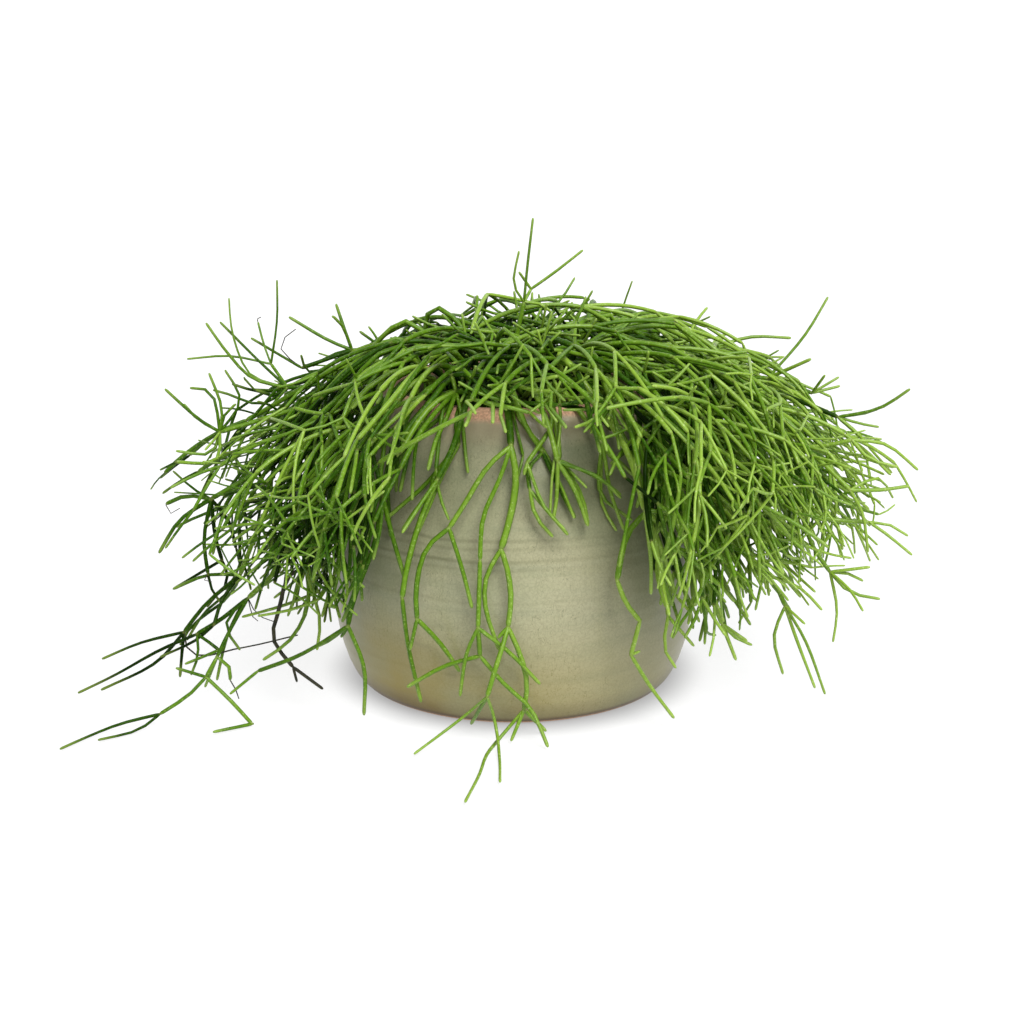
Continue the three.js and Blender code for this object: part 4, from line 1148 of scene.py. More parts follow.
    def grow_whorl(self, parent: Stem, draws: Draws, count: int, form: WhorlForm,
                   reach: float) -> List[Stem]:
        """Grows up to count stems round a parent's end, as grow_stem, and returns them."""
        roll = draws.between(0, FULL_TURN)
        stems = [self.grow_stem(parent, draws, roll + FULL_TURN * k / count, form, reach)
                 for k in range(count)]
        return [stem for stem in stems if stem]

    def grow_crown(self, spray: int, index: int) -> None:
        """Grows a spray that stands up from the middle of the soil."""
        rule = self.crown
        draws = draws_for(CROWN_SEED, spray)
        azimuth = GOLDEN_TURN * index
        out = rule.inner + rule.spread * ((index * rule.spacing) % 1)
        root = self.roots.nearest(out * math.cos(azimuth), out * math.sin(azimuth))
        for _ in range(rule.tries):
            toward = azimuth + draws.between(*rule.turn)
            lean = draws.between(*rule.lean)
            top = out_at(toward, lean, 0.0)
            top = (top[0] + root[0], top[1] + root[1], draws.between(*rule.height))
            top = (top[0], top[1], min(top[2], MASS.top_at(top) - rule.under))
            route = smooth_route([*root_route(root), top], UP, None)
            if self.thicket.spare_room(route, LIMB, spray, 0) < 0:
                continue
            stem = self.thicket.settle(Stem(spray, None, route, LIMB))
            for branch in self.grow_whorl(stem, draws, rule.branches, CROWN_BRANCH, rule.branch_reach):
                self.grow_whorl(branch, draws, rule.twigs, CROWN_TWIG, rule.twig_reach)
            return

    def arching_stems(self, root: Point, spray: int, azimuth: float, reach: float,
                      draws: Draws) -> List[Stem]:
        """Grows the two first stems of an arching spray.

        Args:
            root: Where the spray leaves the soil.
            spray: The spray.
            azimuth: The way it leans.
            reach: How far the mass reaches there.
            draws: The spray's draws.

        Returns:
            The stem over the rim and the limb that falls from it.
        """
        rule = self.arching
        for attempt in range(rule.tries):
            swing = rule.swing + rule.more_swing * attempt / rule.tries
            bearing = azimuth + draws.between(-swing, swing)
            shell = draws.next()
            lift = rule.shell_lift * shell + draws.between(*rule.lift)
            over = out_at(bearing, draws.between(*rule.rim), POT.height + lift)
            knee = (over[0], over[1], min(over[2], MASS.top_at(over) - rule.under))
            level = heading(bearing, rule.level)
            rise = smooth_route([*root_route(root), knee], UP, level)
            if not self.fits(rise, MAIN_STEM, spray, ROOT_DEPTH + 2 * COLLAR, 0):
                continue
            for _ in range(rule.falls):
                swerve = bearing + draws.between(*rule.swerve)
                share = rule.share + rule.shell_share * shell
                rho = max(rule.least_radius, share * reach + draws.between(*rule.share_slack))
                flat = out_at(swerve, rho, 0.0)
                depth = rule.under + (1 - shell) * draws.between(*rule.depth)
                joint = (flat[0], flat[1], MASS.top_at(flat) - depth)
                if MASS.outside(joint, reach):
                    continue
                arrive = unit(plus(MASS.flow_at(joint), heading(swerve, rule.plunge), rule.plunge_share))
                fall = [on_curve(knee, joint, level, arrive, i / rule.fall_steps)
                        for i in range(rule.fall_steps + 1)]
                if not self.fits(fall, LIMB, spray, 0, ROOM.joint_reach):
                    continue
                stem = self.thicket.settle(Stem(spray, None, rise, MAIN_STEM, UP, level))
                return [stem, self.thicket.settle(Stem(spray, stem, fall, LIMB, level, arrive))]
        return []

    def grow_arching(self, spray: int, index: int) -> None:
        """Grows a spray that arches over the rim, with whorls at its first and second joints."""
        rule = self.arching
        draws = draws_for(ARCHING_SEED, spray)
        span = 360 - 2 * rule.clear_front
        azimuth = math.radians(rule.clear_front - 90 + span * ((index * rule.spacing) % 1))
        reach = MASS.reach_at(azimuth)
        root = self.roots.nearest(rule.root_radius * math.cos(azimuth), rule.root_radius * math.sin(azimuth))
        stem, limb = self.arching_stems(root, spray, azimuth, reach, draws)
        short = reach - rule.rim_shortfall
        for branch in self.grow_whorl(stem, draws, rule.rim_branches, RIM_BRANCH, short):
            self.grow_whorl(branch, draws, rule.rim_twigs, RIM_TWIG, reach)
        for branch in self.grow_whorl(limb, draws, rule.limb_branches, LIMB_BRANCH, reach):
            self.grow_whorl(branch, draws, rule.limb_twigs, LIMB_TWIG, reach)

    def grow_tips(self, seeds: Tuple[int, int], rule: TipRule) -> None:
        """Grows the last stems at the free ends of crown and arching sprays."""
        carried = {id(stem.parent) for stem in self.thicket.stems if stem.parent}
        ends = []
        for stem in self.thicket.stems:
            within = rule.nearest <= from_axis(stem.end) <= rule.furthest and stem.end[2] >= rule.lowest
            if stem.spray >= len(TRACED_SPRAYS) and id(stem) not in carried and within:
                ends.append(stem)
        for index, stem in enumerate(ends):
            reach = MASS.reach_at(azimuth_of(stem.end)) + rule.further
            self.grow_whorl(stem, draws_for(seeds, index), 1, rule.form, reach)


@dataclass(frozen=True)
class FineGeneration:
    """A further generation of whorls, too fine for the nodes.

    count is how many stems each whorl has. nearest, with in_front more at the front, and furthest are how
    far from the axis the ends lie that it grows from, and lowest how high they lie at least. joints is
    True where it also grows from ends that others grow from already. shortfall is how far it stays inside
    the mass's reach, and sparse the share of the ends at the sides that it leaves bare.
    """
    count: int
    form: WhorlForm
    mass: Mass
    nearest: float = 0.0
    in_front: float = 30.0
    furthest: float = 400.0
    lowest: float = 0.0
    joints: bool = False
    shortfall: float = 0.0
    sparse: float = 0.0

    def grows_from(self, stem: Stem, carried: bool) -> bool:
        """True where this generation grows from a stem's end."""
        rho = from_axis(stem.end)
        nearest = self.nearest - self.in_front * min(0.0, stem.end[1] / rho) if self.nearest else 0.0
        if carried and not self.joints:
            return False
        return nearest <= rho <= self.furthest and stem.end[2] >= self.lowest


CROWN_MASS = replace(MASS, top=190.5, top_slack=0.0, opening_y=-66.0, opening_top=162.0)
OUTER_MASS = replace(MASS, top=192.0, top_slack=0.0, opening_x=-2.0, opening_top=168.0,
                     opening_half_width=51.0, opening_spread=0.25, underside_z=46.0, underside_tilt=10.0,
                     widening=-6.0, rightward=10.0, back_loss=18.0)

FINE_GENERATIONS = (
    FineGeneration(7, WhorlForm((24, 54), (0.3, 1.2), 0.0, 0.2, 1.4, 24, 0.5, 10, 0.8), CROWN_MASS,
                   furthest=112.0, lowest=152.0, joints=True, shortfall=60.0),
    FineGeneration(5, WhorlForm((18, 44), (0.3, 1.1), 0.0, 0.2, 1.2, 20, 0.5, 16, 0.6), CROWN_MASS,
                   furthest=116.0, lowest=152.0, joints=True, shortfall=52.0),
    FineGeneration(5, WhorlForm((12, 28), (0.3, 1.2), 0.0, -0.5, 1.0, 16, 0.3, 28, -0.4), CROWN_MASS,
                   furthest=124.0, lowest=156.0, shortfall=40.0),
    FineGeneration(3, WhorlForm((22, 46), (0.2, 1.1), 0.15, 0.35, 1.3, 16, 0.5, 0, 0.4), CROWN_MASS,
                   nearest=45.0, in_front=0.0, furthest=104.0, lowest=150.0, joints=True, shortfall=72.0),
    FineGeneration(5, WhorlForm((26, 54), (0.3, 1.05), 0.1, 0.3, 1.4, 10, 0.6, 20), OUTER_MASS,
                   nearest=80.0, sparse=0.95),
    FineGeneration(4, WhorlForm((20, 44), (0.15, 0.65), 0.05, 0.3, 1.2, 8, 0.6, 28), OUTER_MASS,
                   nearest=86.0, sparse=0.95),
    FineGeneration(3, WhorlForm((18, 36), (0.2, 0.9), 0.0, 0.15, 1.0, 7, 0.6, 32), OUTER_MASS,
                   nearest=100.0, sparse=0.95),
    FineGeneration(3, WhorlForm((12, 28), (0.2, 1.0), 0.0, 0.0, 0.8, 6, 0.6, 36), OUTER_MASS,
                   nearest=120.0, sparse=0.9),
)


@dataclass(frozen=True)
class FineGrowth:
    """What the nodes leave out: whorl after whorl in the crown, over the rim and out to the tips."""
    generations: Tuple[FineGeneration, ...] = FINE_GENERATIONS
    seed: int = 90001
    per_generation: int = 7919
    per_end: int = 17
    bare_z: float = 75.0
    sparse_from: float = 80.0
    sparse_over: float = 50.0
    sparse_left: float = 1.12
    sparse_right: float = 0.8
    left_angle: Pair = (0.4, 1.3)
    left_slimmer: float = 0.85
    sparse_high: float = 0.55
    sparse_more_low: float = 0.35
    sparse_top: float = 150.0
    sparse_depth: float = 80.0

    def ends(self, plant: Plant, generation: FineGeneration) -> List[Stem]:
        """The stems from whose ends a generation grows."""
        carried = {id(stem.parent) for stem in plant.thicket.stems if stem.parent}
        found = []
        mass = generation.mass
        for stem in plant.thicket.stems:
            bare = stem.end[2] < self.bare_z or mass.outside(stem.end, mass.reach_at(azimuth_of(stem.end)))
            if mass.in_opening(stem.end) or (stem.spray < len(TRACED_SPRAYS) and bare):
                continue
            if stem.skin is Skin.GREEN and generation.grows_from(stem, id(stem) in carried):
                found.append(stem)
        return found

    def left_bare(self, stem: Stem, sparse: float, draws: Draws) -> bool:
        """True where a stem's end is one of those left bare at the plant's sides."""
        x = stem.end[0]
        side = clamped((abs(x) - self.sparse_from) / self.sparse_over)
        depth = clamped((self.sparse_top - stem.end[2]) / self.sparse_depth)
        low = self.sparse_high + self.sparse_more_low * depth
        return draws.next() < sparse * side * low * (self.sparse_left if x < 0 else self.sparse_right)

    def grow(self, plant: Plant) -> None:
        """Grows all generations."""
        for level, generation in enumerate(self.generations):
            plant.mass = generation.mass
            for index, stem in enumerate(self.ends(plant, generation)):
                draws = Draws(SEED + self.seed + level * self.per_generation + index * self.per_end)
                if self.left_bare(stem, generation.sparse, draws):
                    continue
                reach = generation.mass.reach_at(azimuth_of(stem.end)) - generation.shortfall
                form = generation.form
                if stem.end[0] < -self.sparse_from:
                    form = replace(form, angle=self.left_angle, radius=self.left_slimmer * form.radius)
                for grown in plant.grow_whorl(stem, draws, generation.count, form, reach):
                    grown.generation = level + 1


# Meshes

def mesh_of(bm: bmesh.types.BMesh, name: str) -> Mesh:
    """The mesh made in bm, which it frees, under a name."""
    mesh = bpy.data.meshes.new(name)
    bm.to_mesh(mesh)
    bm.free()
    return mesh


def add_object(name: str, mesh: Mesh, materials: Sequence[Material]) -> Object:
    """Puts a mesh into the scene, with all its faces shaded smooth.

    Args:
        name: The object's name.
        mesh: Its mesh, in metres in the row's frame.
        materials: Its materials, in the order of their places.

    Returns:
        The object.
    """
    mesh.polygons.foreach_set("use_smooth", np.ones(len(mesh.polygons), dtype=bool))
    mesh.update()
    made = bpy.data.objects.new(name, mesh)
    for material in materials:
        mesh.materials.append(material)
    bpy.context.scene.collection.objects.link(made)
    return made


def outlined(bm: bmesh.types.BMesh, points: Sequence[Point]) -> Tuple[List, List]:
    """Adds an open outline through points to bm, and returns its corners and edges."""
    corners = [bm.verts.new(point) for point in points]
    return corners, [bm.edges.new(pair) for pair in zip(corners, corners[1:])]


def drawn_out(bm: bmesh.types.BMesh, edges: Sequence[bmesh.types.BMEdge], way: Point) -> List:
    """Draws edges out into faces along a way, and returns the edges at their far end."""
    grown = bmesh.ops.extrude_edge_only(bm, edges=edges)["geom"]
    corners = [part for part in grown if isinstance(part, bmesh.types.BMVert)]
    bmesh.ops.translate(bm, verts=corners, vec=way)
    return [part for part in grown if isinstance(part, bmesh.types.BMEdge)]


@dataclass(frozen=True)
class TubeForm:
    """A stem's tube: pinched where it leaves its joint, full along its length and blunt at its tip.

    base and tip hold pairs of a distance from the stem's end, and a share of its radius, both in radii.
    """
    sides: int = 6
    ring_spacing: float = 7.5
    least_rings: int = 2
    most_rings: int = 14
    base: Tuple[Pair, ...] = ((-0.9, 0.5), (0.5, 0.76), (2.2, 0.96))
    tip: Tuple[Pair, ...] = ((1.7, 1.03), (0.55, 0.86), (-0.1, 0.42))
    swelling: float = 0.05
    taper: float = 0.2
    fine_step: float = 4.0
    scar_reach: float = 2.2
    crown_share: float = 0.84
    crown_radius: float = 110.0
    crown_z: float = 164.0
    left_share: float = 0.73
    right_share: float = 0.74
    inner_radius: float = 60.0
    outer_radius: float = 165.0
    upright: float = 0.9

    def drawn_radius(self, stem: Stem) -> float:
        """A stem's radius as it is drawn: slimmer over the crown and toward the plant's outside."""
        rho = from_axis(stem.end)
        out = clamped((rho - self.inner_radius) / (self.outer_radius - self.inner_radius))
        share = 1 + ((self.left_share if stem.end[0] < 0 else self.right_share) - 1) * out
        if stem.end[2] > self.crown_z and rho < self.crown_radius:
            share = min(share, self.crown_share)
        return stem.radius * share


@dataclass
class StemTube:
    """The rings of one stem: their centres, sides and sizes, and what their finish needs."""
    stem: Stem
    form: TubeForm
    free: bool

    def ring_places(self, size: float) -> Tuple[np.ndarray, np.ndarray]:
        """Where the rings stand.

        Args:
            size: The stem's length, in mm.

        Returns:
            Each ring's distance along the stem and its share of the radius.
        """
        form = self.form
        radius = form.drawn_radius(self.stem)
        base = [(place * radius, share) for place, share in form.base]
        tip = [(size - place * radius, share) for place, share in form.tip]
        first, last = base[-1][0], tip[0][0]
        count = int(min(form.most_rings, max(form.least_rings, round((last - first) / form.ring_spacing))))
        wave = self.stem.tone * FULL_TURN
        body = []
        for k in range(1, count):
            share = k / count
            swell = 1 + form.swelling * math.sin(wave + share * FULL_TURN)
            body.append((first + (last - first) * share, swell))
        places = np.array(base + body + tip)
        tapered = 1 - (form.taper if self.free else 0.0) * np.clip(places[:, 0] / size, 0.0, 1.0)
        return places[:, 0], places[:, 1] * tapered

    def rings(self) -> Tuple[np.ndarray, np.ndarray, np.ndarray, np.ndarray]:
        """The tube's rings.

        Returns:
            Their centres and two side directions, scaled to the ring's size, and their finish: how far
            along the stem they are, and how near to a joint, both from 0 to 1.
        """
        stem = self.stem
        line = np.array(smooth_route(stem.route, stem.leave, stem.arrive, self.form.fine_step))
        steps = np.linalg.norm(np.diff(line, axis=0), axis=1)
        run = np.concatenate([[0.0], np.cumsum(steps)])
        size = run[-1]
        places, shares = self.ring_places(size)
        centres = np.stack([np.interp(places, run, line[:, i]) for i in range(3)], axis=1)
        first_way = (line[1] - line[0]) / steps[0]
        last_way = (line[-1] - line[-2]) / steps[-1]
        centres += np.outer(np.minimum(places, 0.0), first_way)
        centres += np.outer(np.maximum(places - size, 0.0), last_way)
        ways = np.gradient(centres, axis=0)
        ways[0], ways[-1] = first_way, last_way
        ways /= np.linalg.norm(ways, axis=1)[:, None]
        side = np.cross(ways[0], ASKEW if abs(ways[0][2]) < self.form.upright else ASKEW[::-1])
        sides = []
        for way in ways:
            side = side - way * side.dot(way)
            side = side / np.linalg.norm(side)
            sides.append(side)
        across = np.array(sides)
        other = np.cross(ways, across)
        sizes = (shares * self.form.drawn_radius(stem))[:, None]
        reach = self.form.scar_reach * stem.radius
        from_joint = places if self.free else np.minimum(places, size - places)
        scar = np.clip(1 - from_joint / reach, 0.0, 1.0)
        finish = np.stack([np.clip(places / size, 0.0, 1.0), scar], axis=1)
        return centres, across * sizes, other * sizes, finish


@lru_cache(maxsize=None)
def tube_mesh(rings: int, sides: int) -> Tuple[Mesh, np.ndarray]:
    """A closed tube of unit rings, one above the other, and its corners."""
    bm = bmesh.new()
    bmesh.ops.create_circle(bm, segments=sides, radius=1.0)
    edges = list(bm.edges)
    bmesh.ops.contextual_create(bm, geom=edges)
    for _ in range(rings - 1):
        edges = drawn_out(bm, edges, UP)
    bmesh.ops.contextual_create(bm, geom=edges)
    bmesh.ops.recalc_face_normals(bm, faces=bm.faces)
    mesh = mesh_of(bm, f"tube_{rings}")
    corners = np.empty(len(mesh.vertices) * 3)
    mesh.vertices.foreach_get("co", corners)
    return mesh, corners.reshape(-1, 3)


class SprayMesh:
    """The mesh of one spray: a tube for each of its stems."""

    def __init__(self, form: TubeForm) -> None:
        """Starts with no stems."""
        self.form = form
        self.bm = bmesh.new()
        self.corners: List[np.ndarray] = []
        self.finish: List[np.ndarray] = []
        self.skins: List[np.ndarray] = []

    def add(self, stem: Stem, free: bool) -> None:
        """Adds a stem's tube, with free True where nothing grows on from its end."""
        centres, across, other, finish = StemTube(stem, self.form, free).rings()
        template, unit_corners = tube_mesh(len(centres), self.form.sides)
        self.bm.from_mesh(template)
        ring = np.rint(unit_corners[:, 2]).astype(int)
        corners = centres[ring] + across[ring] * unit_corners[:, :1] + other[ring] * unit_corners[:, 1:2]
        self.corners.append(corners * MM)
        # The tone carries the stem's painted light and shade
        tone = np.full(len(ring), stem.tone)
        along = finish[ring, 0] * (1.0 if free else 0.0)
        self.finish.append(np.stack([tone, along, finish[ring, 1], np.ones(len(ring))], axis=1))
        self.skins.append(np.full(len(template.polygons), stem.skin.value))

    def finish_mesh(self, name: str) -> Mesh:
        """The finished mesh, under a name."""
        mesh = mesh_of(self.bm, name)
        mesh.vertices.foreach_set("co", np.concatenate(self.corners).ravel())
        mesh.polygons.foreach_set("material_index", np.concatenate(self.skins).astype(np.int32))
        finish = mesh.attributes.new("stem", "FLOAT_COLOR", "POINT")
        finish.data.foreach_set("color", np.concatenate(self.finish).ravel())
        return mesh


# Finishes

Colour = Tuple[float, float, float]
Paint = Tuple[float, float, float, float]
Wired = Dict[Union[str, int], object]
BLACK: Paint = (0.0, 0.0, 0.0, 1.0)
WHITE: Paint = (1.0, 1.0, 1.0, 1.0)


def srgb(red: float, green: float, blue: float) -> Paint:
    """A colour given from 0 to 255 as a screen shows it, for a material."""
    def linear(value: float) -> float:
        """One channel, made linear."""
        share = value / 255
        return share / 12.92 if share <= 0.04045 else ((share + 0.055) / 1.055) ** 2.4
    return (linear(red), linear(green), linear(blue), 1.0)


class Shader:
    """A material, built node by node round its surface shader."""

    def __init__(self, name: str) -> None:
        """Starts a material under a name."""
        self.material = bpy.data.materials.new(name)
        self.material.use_nodes = True
        self.tree = self.material.node_tree
        self.surface = self.tree.nodes["Principled BSDF"]

    def node(self, kind: str, wired: Wired, **settings: object) -> bpy.types.Node:
        """Adds a node.

        Args:
            kind: Its type, without the ShaderNode that starts it.
            wired: For each input by name or number, another node's output or a fixed value.
            settings: Its other settings.

        Returns:
            The node.
        """
        made = self.tree.nodes.new("ShaderNode" + kind)
        for name, value in settings.items():
            setattr(made, name, value)
        self.wire(made, wired)
        return made

    def wire(self, node: bpy.types.Node, wired: Wired) -> None:
        """Sets a node's inputs, each to another node's output or to a fixed value."""
        for key, value in wired.items():
            if isinstance(value, Socket):
                self.tree.links.new(value, node.inputs[key])
            else:
                node.inputs[key].default_value = value

    def place(self) -> Socket:
        """The place on the object, in metres."""
        return self.node("TexCoord", {}).outputs["Object"]

    def stretched(self, where: Socket, scale: Point) -> Socket:
        """A place, scaled along each axis."""
        return self.node("Mapping", {"Vector": where, "Scale": scale}).outputs[0]

    def noise(self, where: Socket, scale: float, detail: float = 3.0) -> Socket:
        """Soft noise, from 0 to 1."""
        return self.node("TexNoise", {"Vector": where, "Scale": scale, "Detail": detail}).outputs[0]

    def reckoned(self, operation: str, a: object, b: object = 0.0) -> Socket:
        """The result of a math operation on a and b."""
        return self.node("Math", {0: a, 1: b}, operation=operation).outputs[0]

    def product(self, a: object, b: object) -> Socket:
        """a times b."""
        return self.reckoned("MULTIPLY", a, b)

    def ranged(self, value: object, low: float, high: float, to_low: float = 0.0,
               to_high: float = 1.0) -> Socket:
        """A value from low to high, moved smoothly to run from to_low to to_high."""
        wired = {0: value, 1: low, 2: high, 3: to_low, 4: to_high}
        return self.node("MapRange", wired, interpolation_type="SMOOTHSTEP").outputs[0]

    def mixed(self, share: object, a: object, b: object) -> Socket:
        """Colour a, mixed with that share of colour b."""
        return self.node("Mix", {0: share, 6: a, 7: b}, data_type="RGBA").outputs[2]

    def tinted(self, colour: object, tint: Colour, share: object) -> Socket:
        """A colour, mixed with that share of a tint."""
        return self.mixed(share, colour, srgb(*tint))

    def ramp(self, value: object, stops: Sequence[Tuple[float, Colour]]) -> Socket:
        """A colour for each value, from stops of a value and a colour."""
        node = self.node("ValToRGB", {0: value})
        band = node.color_ramp
        while len(band.elements) < len(stops):
            band.elements.new(0.5)
        for element, (position, colour) in zip(band.elements, stops):
            element.position = position
            element.color = srgb(*colour)
        return node.outputs[0]

    def bump(self, height: Socket, depth: float, strength: float = 1.0) -> None:
        """Raises the surface by a height from 0 to 1 times a depth in metres."""
        wired = {"Height": height, "Distance": depth, "Strength": strength}
        self.wire(self.surface, {"Normal": self.node("Bump", wired).outputs[0]})

    def finished(self, wired: Wired) -> Material:
        """Sets the surface's inputs, and returns the material."""
        self.wire(self.surface, wired)
        return self.material


@dataclass(frozen=True)
class StemFinish:
    """The skin of living stems: a green that differs from stem to stem and carries painted light and shade,
    paler at its growing tip, scarred at its joint.
    """
    dark: Colour = (16, 36, 0)
    deep: Colour = (46, 82, 6)
    middle: Colour = (86, 124, 14)
    bright: Colour = (130, 163, 50)
    young: Colour = (158, 184, 84)
    scar: Colour = (132, 138, 72)
    fleck: Colour = (182, 200, 128)
    fleck_scale: float = 900.0
    mottle_scale: float = 240.0
    roughness: float = 0.4
    specular: Pair = (0.05, 0.36)

    def make(self) -> Material:
        """Makes the material."""
        shader = Shader("stem_green")
        where = shader.place()
        finish = shader.node("Attribute", {}, attribute_name="stem")
        tone, along, scar = shader.node("SeparateColor", {0: finish.outputs["Color"]}).outputs[:3]
        mottle = shader.ranged(shader.noise(where, self.mottle_scale, 2.0), 0.3, 0.7, -0.06, 0.06)
        stops = [(0.0, self.dark), (0.3, self.deep), (0.6, self.middle), (1.0, self.bright)]
        # The tone holds painted light and painted shade as well as each stem's own green
        colour = shader.ramp(shader.reckoned("ADD", tone, mottle), stops)
        colour = shader.tinted(colour, self.young, shader.ranged(along, 0.6, 1.0, 0.0, 0.35))
        colour = shader.tinted(colour, self.scar, shader.ranged(scar, 0.5, 1.0, 0.0, 0.4))
        flecks = shader.ranged(shader.noise(where, self.fleck_scale, 1.0), 0.58, 0.72)
        colour = shader.tinted(colour, self.fleck, shader.product(shader.product(flecks, tone), 0.5))
        return shader.finished({
            "Base Color": colour,
            "Roughness": self.roughness,
            "Specular IOR Level": shader.ranged(tone, 0.2, 0.9, *self.specular),
        })


@dataclass(frozen=True)
class GrainFinish:
    """A dull finish that changes from grain to grain between its tones, each with where it starts."""
    name: str
    tones: Tuple[Tuple[float, Colour], ...]
    roughness: float
    scale: float
    detail: float = 3.0
    depth: float = 0.0

    def make(self) -> Material:
        """Makes the material."""
        shader = Shader(self.name)
        grain = shader.noise(shader.place(), self.scale, self.detail)
        if self.depth:
            shader.bump(grain, self.depth)
        return shader.finished({"Base Color": shader.ramp(grain, self.tones), "Roughness": self.roughness})


DRY_SKIN = GrainFinish("stem_dry", ((0.35, (20, 24, 10)), (0.65, (52, 50, 26))),
                       roughness=0.8, scale=300.0)
SOIL_CRUMBS = GrainFinish("soil_crumbs", ((0.3, (30, 22, 16)), (0.75, (88, 66, 46))),
                          roughness=0.95, scale=260.0, detail=5.0, depth=0.0015)


@dataclass(frozen=True)
class GlazeFinish:
    """A sage glaze over terracotta: bare at the lip and foot, warmer low on the left, finely crazed, with
    painted shade high up under the stems and at the sides.
    """
    sage: Colour = (148, 149, 118)
    cream: Colour = (161, 158, 127)
    grey: Colour = (135, 139, 111)
    # Painted shade high up under the stems and at the sides, on the glaze and on the bare lip
    shade_green: Colour = (96, 106, 74)
    ochre: Colour = (140, 121, 34)
    brown: Colour = (84, 56, 26)
    clay: Colour = (222, 176, 142)
    blush: Colour = (172, 156, 126)
    craze: Colour = (96, 96, 66)
    cloud_scale: float = 14.0
    grain_scale: float = 900.0
    craze_scale: float = 420.0
    patch_scale: float = 30.0
    dimple_scale: float = 120.0
    dimple_depth: float = 0.0004
    dimple_strength: float = 0.4
    band_stretch: Point = (6.0, 6.0, 60.0)
    shade_stretch: Point = (90.0, 90.0, 22.0)
    run_stretch: Point = (420.0, 420.0, 110.0)
    bands: Tuple[Pair, ...] = ((0.1005, 0.45), (0.0965, 0.3), (0.0905, 0.5), (0.0865, 0.25), (0.07, 0.2),
                               (0.03, 0.15))
    band_wave: float = 0.0008
    band_width: float = 0.0016
    lip_z: float = 0.1595
    foot_z: float = 0.0022
    roughness: Pair = (0.3, 0.85)
    specular: float = 0.4

    def make(self) -> Material:
        """Makes the material: clouds, crazing, painted shade and cracks, bands, the warm foot and bare clay.
        """
        shader = Shader("pot_glaze")
        noise_at, ranged, reckoned = shader.noise, shader.ranged, shader.reckoned
        product, tinted = shader.product, shader.tinted
        where = shader.place()
        across, _depth, height = shader.node("SeparateXYZ", {0: where}).outputs
        clouds = noise_at(where, self.cloud_scale)
        grain = noise_at(where, self.grain_scale, 2.0)
        streaks = noise_at(shader.stretched(where, self.band_stretch), 2.0)
        colour = tinted(srgb(*self.sage), self.cream, ranged(clouds, 0.35, 0.65))
        colour = tinted(colour, self.grey, ranged(streaks, 0.45, 0.75, 0.0, 0.5))
        colour = tinted(colour, self.craze, ranged(grain, 0.3, 0.75, 0.0, 0.22))

        cells = shader.node("TexVoronoi", {"Vector": where, "Scale": self.craze_scale},
                            feature="DISTANCE_TO_EDGE")
        colour = tinted(colour, self.craze, ranged(cells.outputs[0], 0.0, 0.09, 0.17, 0.0))

        # Painted shade: darker at the sides, and high up under the stems, broken up by noise
        aside = ranged(reckoned("ABSOLUTE", across), 0.03, 0.09)
        shade_noise = noise_at(shader.stretched(where, self.shade_stretch), 1.0, 4.0)
        high = product(ranged(height, 0.09, 0.13), ranged(shade_noise, 0.4, 0.6, 0.5))
        colour = tinted(colour, self.shade_green, product(reckoned("MAXIMUM", high, aside), 0.38))
        runs = noise_at(shader.stretched(where, self.run_stretch), 1.0, 2.0)
        cracks = ranged(reckoned("ABSOLUTE", reckoned("SUBTRACT", runs, 0.5)), 0.012, 0.0)
        patches = ranged(noise_at(where, self.patch_scale), 0.45, 0.6, 0.1, 0.75)
        colour = tinted(colour, self.craze, product(cracks, patches))

        for band, strength in self.bands:
            waved = ranged(clouds, 0.3, 0.7, band - self.band_wave, band + self.band_wave)
            off = reckoned("ABSOLUTE", reckoned("SUBTRACT", height, waved))
            near = ranged(off, 0.0, self.band_width, strength, 0.0)
            colour = tinted(colour, self.craze, product(near, ranged(across, 0.06, -0.05, 0.25, 1.0)))

        warm = product(ranged(height, 0.07, 0.008), ranged(across, 0.06, -0.08, 0.3, 1.0))
        warm = product(warm, ranged(clouds, 0.3, 0.6, 0.4, 1.0))
        colour = tinted(colour, self.ochre, warm)
        colour = tinted(colour, self.brown, product(warm, ranged(height, 0.018, 0.003, 0.0, 0.7)))

        edge = reckoned("ADD", height, ranged(clouds, 0.3, 0.7, -0.003, 0.003))
        lip, foot = self.lip_z, self.foot_z
        colour = tinted(colour, self.blush, ranged(edge, lip - 0.016, lip, 0.0, 0.7))
        colour = tinted(colour, self.brown, ranged(height, foot + 0.003, foot, 0.0, 0.8))
        clay = tinted(srgb(*self.clay), self.brown, ranged(grain, 0.3, 0.7, 0.0, 0.4))
        # Painted shade on the bare lip at the sides
        clay = tinted(clay, self.shade_green, product(aside, 0.75))
        bare_foot = ranged(height, foot, foot - 0.0008)
        bare = reckoned("MAXIMUM", ranged(edge, lip - 0.002, lip + 0.001), bare_foot)
        shader.bump(noise_at(where, self.dimple_scale, 4.0), self.dimple_depth, self.dimple_strength)
        return shader.finished({
            "Base Color": shader.mixed(bare, colour, clay),
            "Roughness": ranged(bare, 0.0, 1.0, *self.roughness),
            "Specular IOR Level": self.specular,
        })


@dataclass(frozen=True)
class FloorFinish:
    """The studio's pale floor, glowing evenly, with a painted contact shadow close round the pot's foot."""
    colour: Colour = (124, 124, 125)
    roughness: float = 0.6
    specular: float = 0.1
    glow: float = 0.82
    # foot to reach is where the painted contact shadow fades out, and shade is its darkest share
    foot: float = 0.08
    reach: float = 0.112
    shade: float = 0.42

    def make(self) -> Material:
        """Makes the material."""
        shader = Shader("floor_pale")
        out = shader.node("VectorMath", {0: shader.place()}, operation="LENGTH").outputs["Value"]
        # Painted contact shadow: colour and glow darker close round the pot's foot
        lit = shader.ranged(out, self.foot, self.reach, self.shade, 1.0)
        return shader.finished({
            "Base Color": shader.tinted(BLACK, self.colour, lit),
            "Roughness": self.roughness,
            "Specular IOR Level": self.specular,
            "Emission Color": WHITE,
            "Emission Strength": shader.product(lit, self.glow),
        })


# Pot and soil

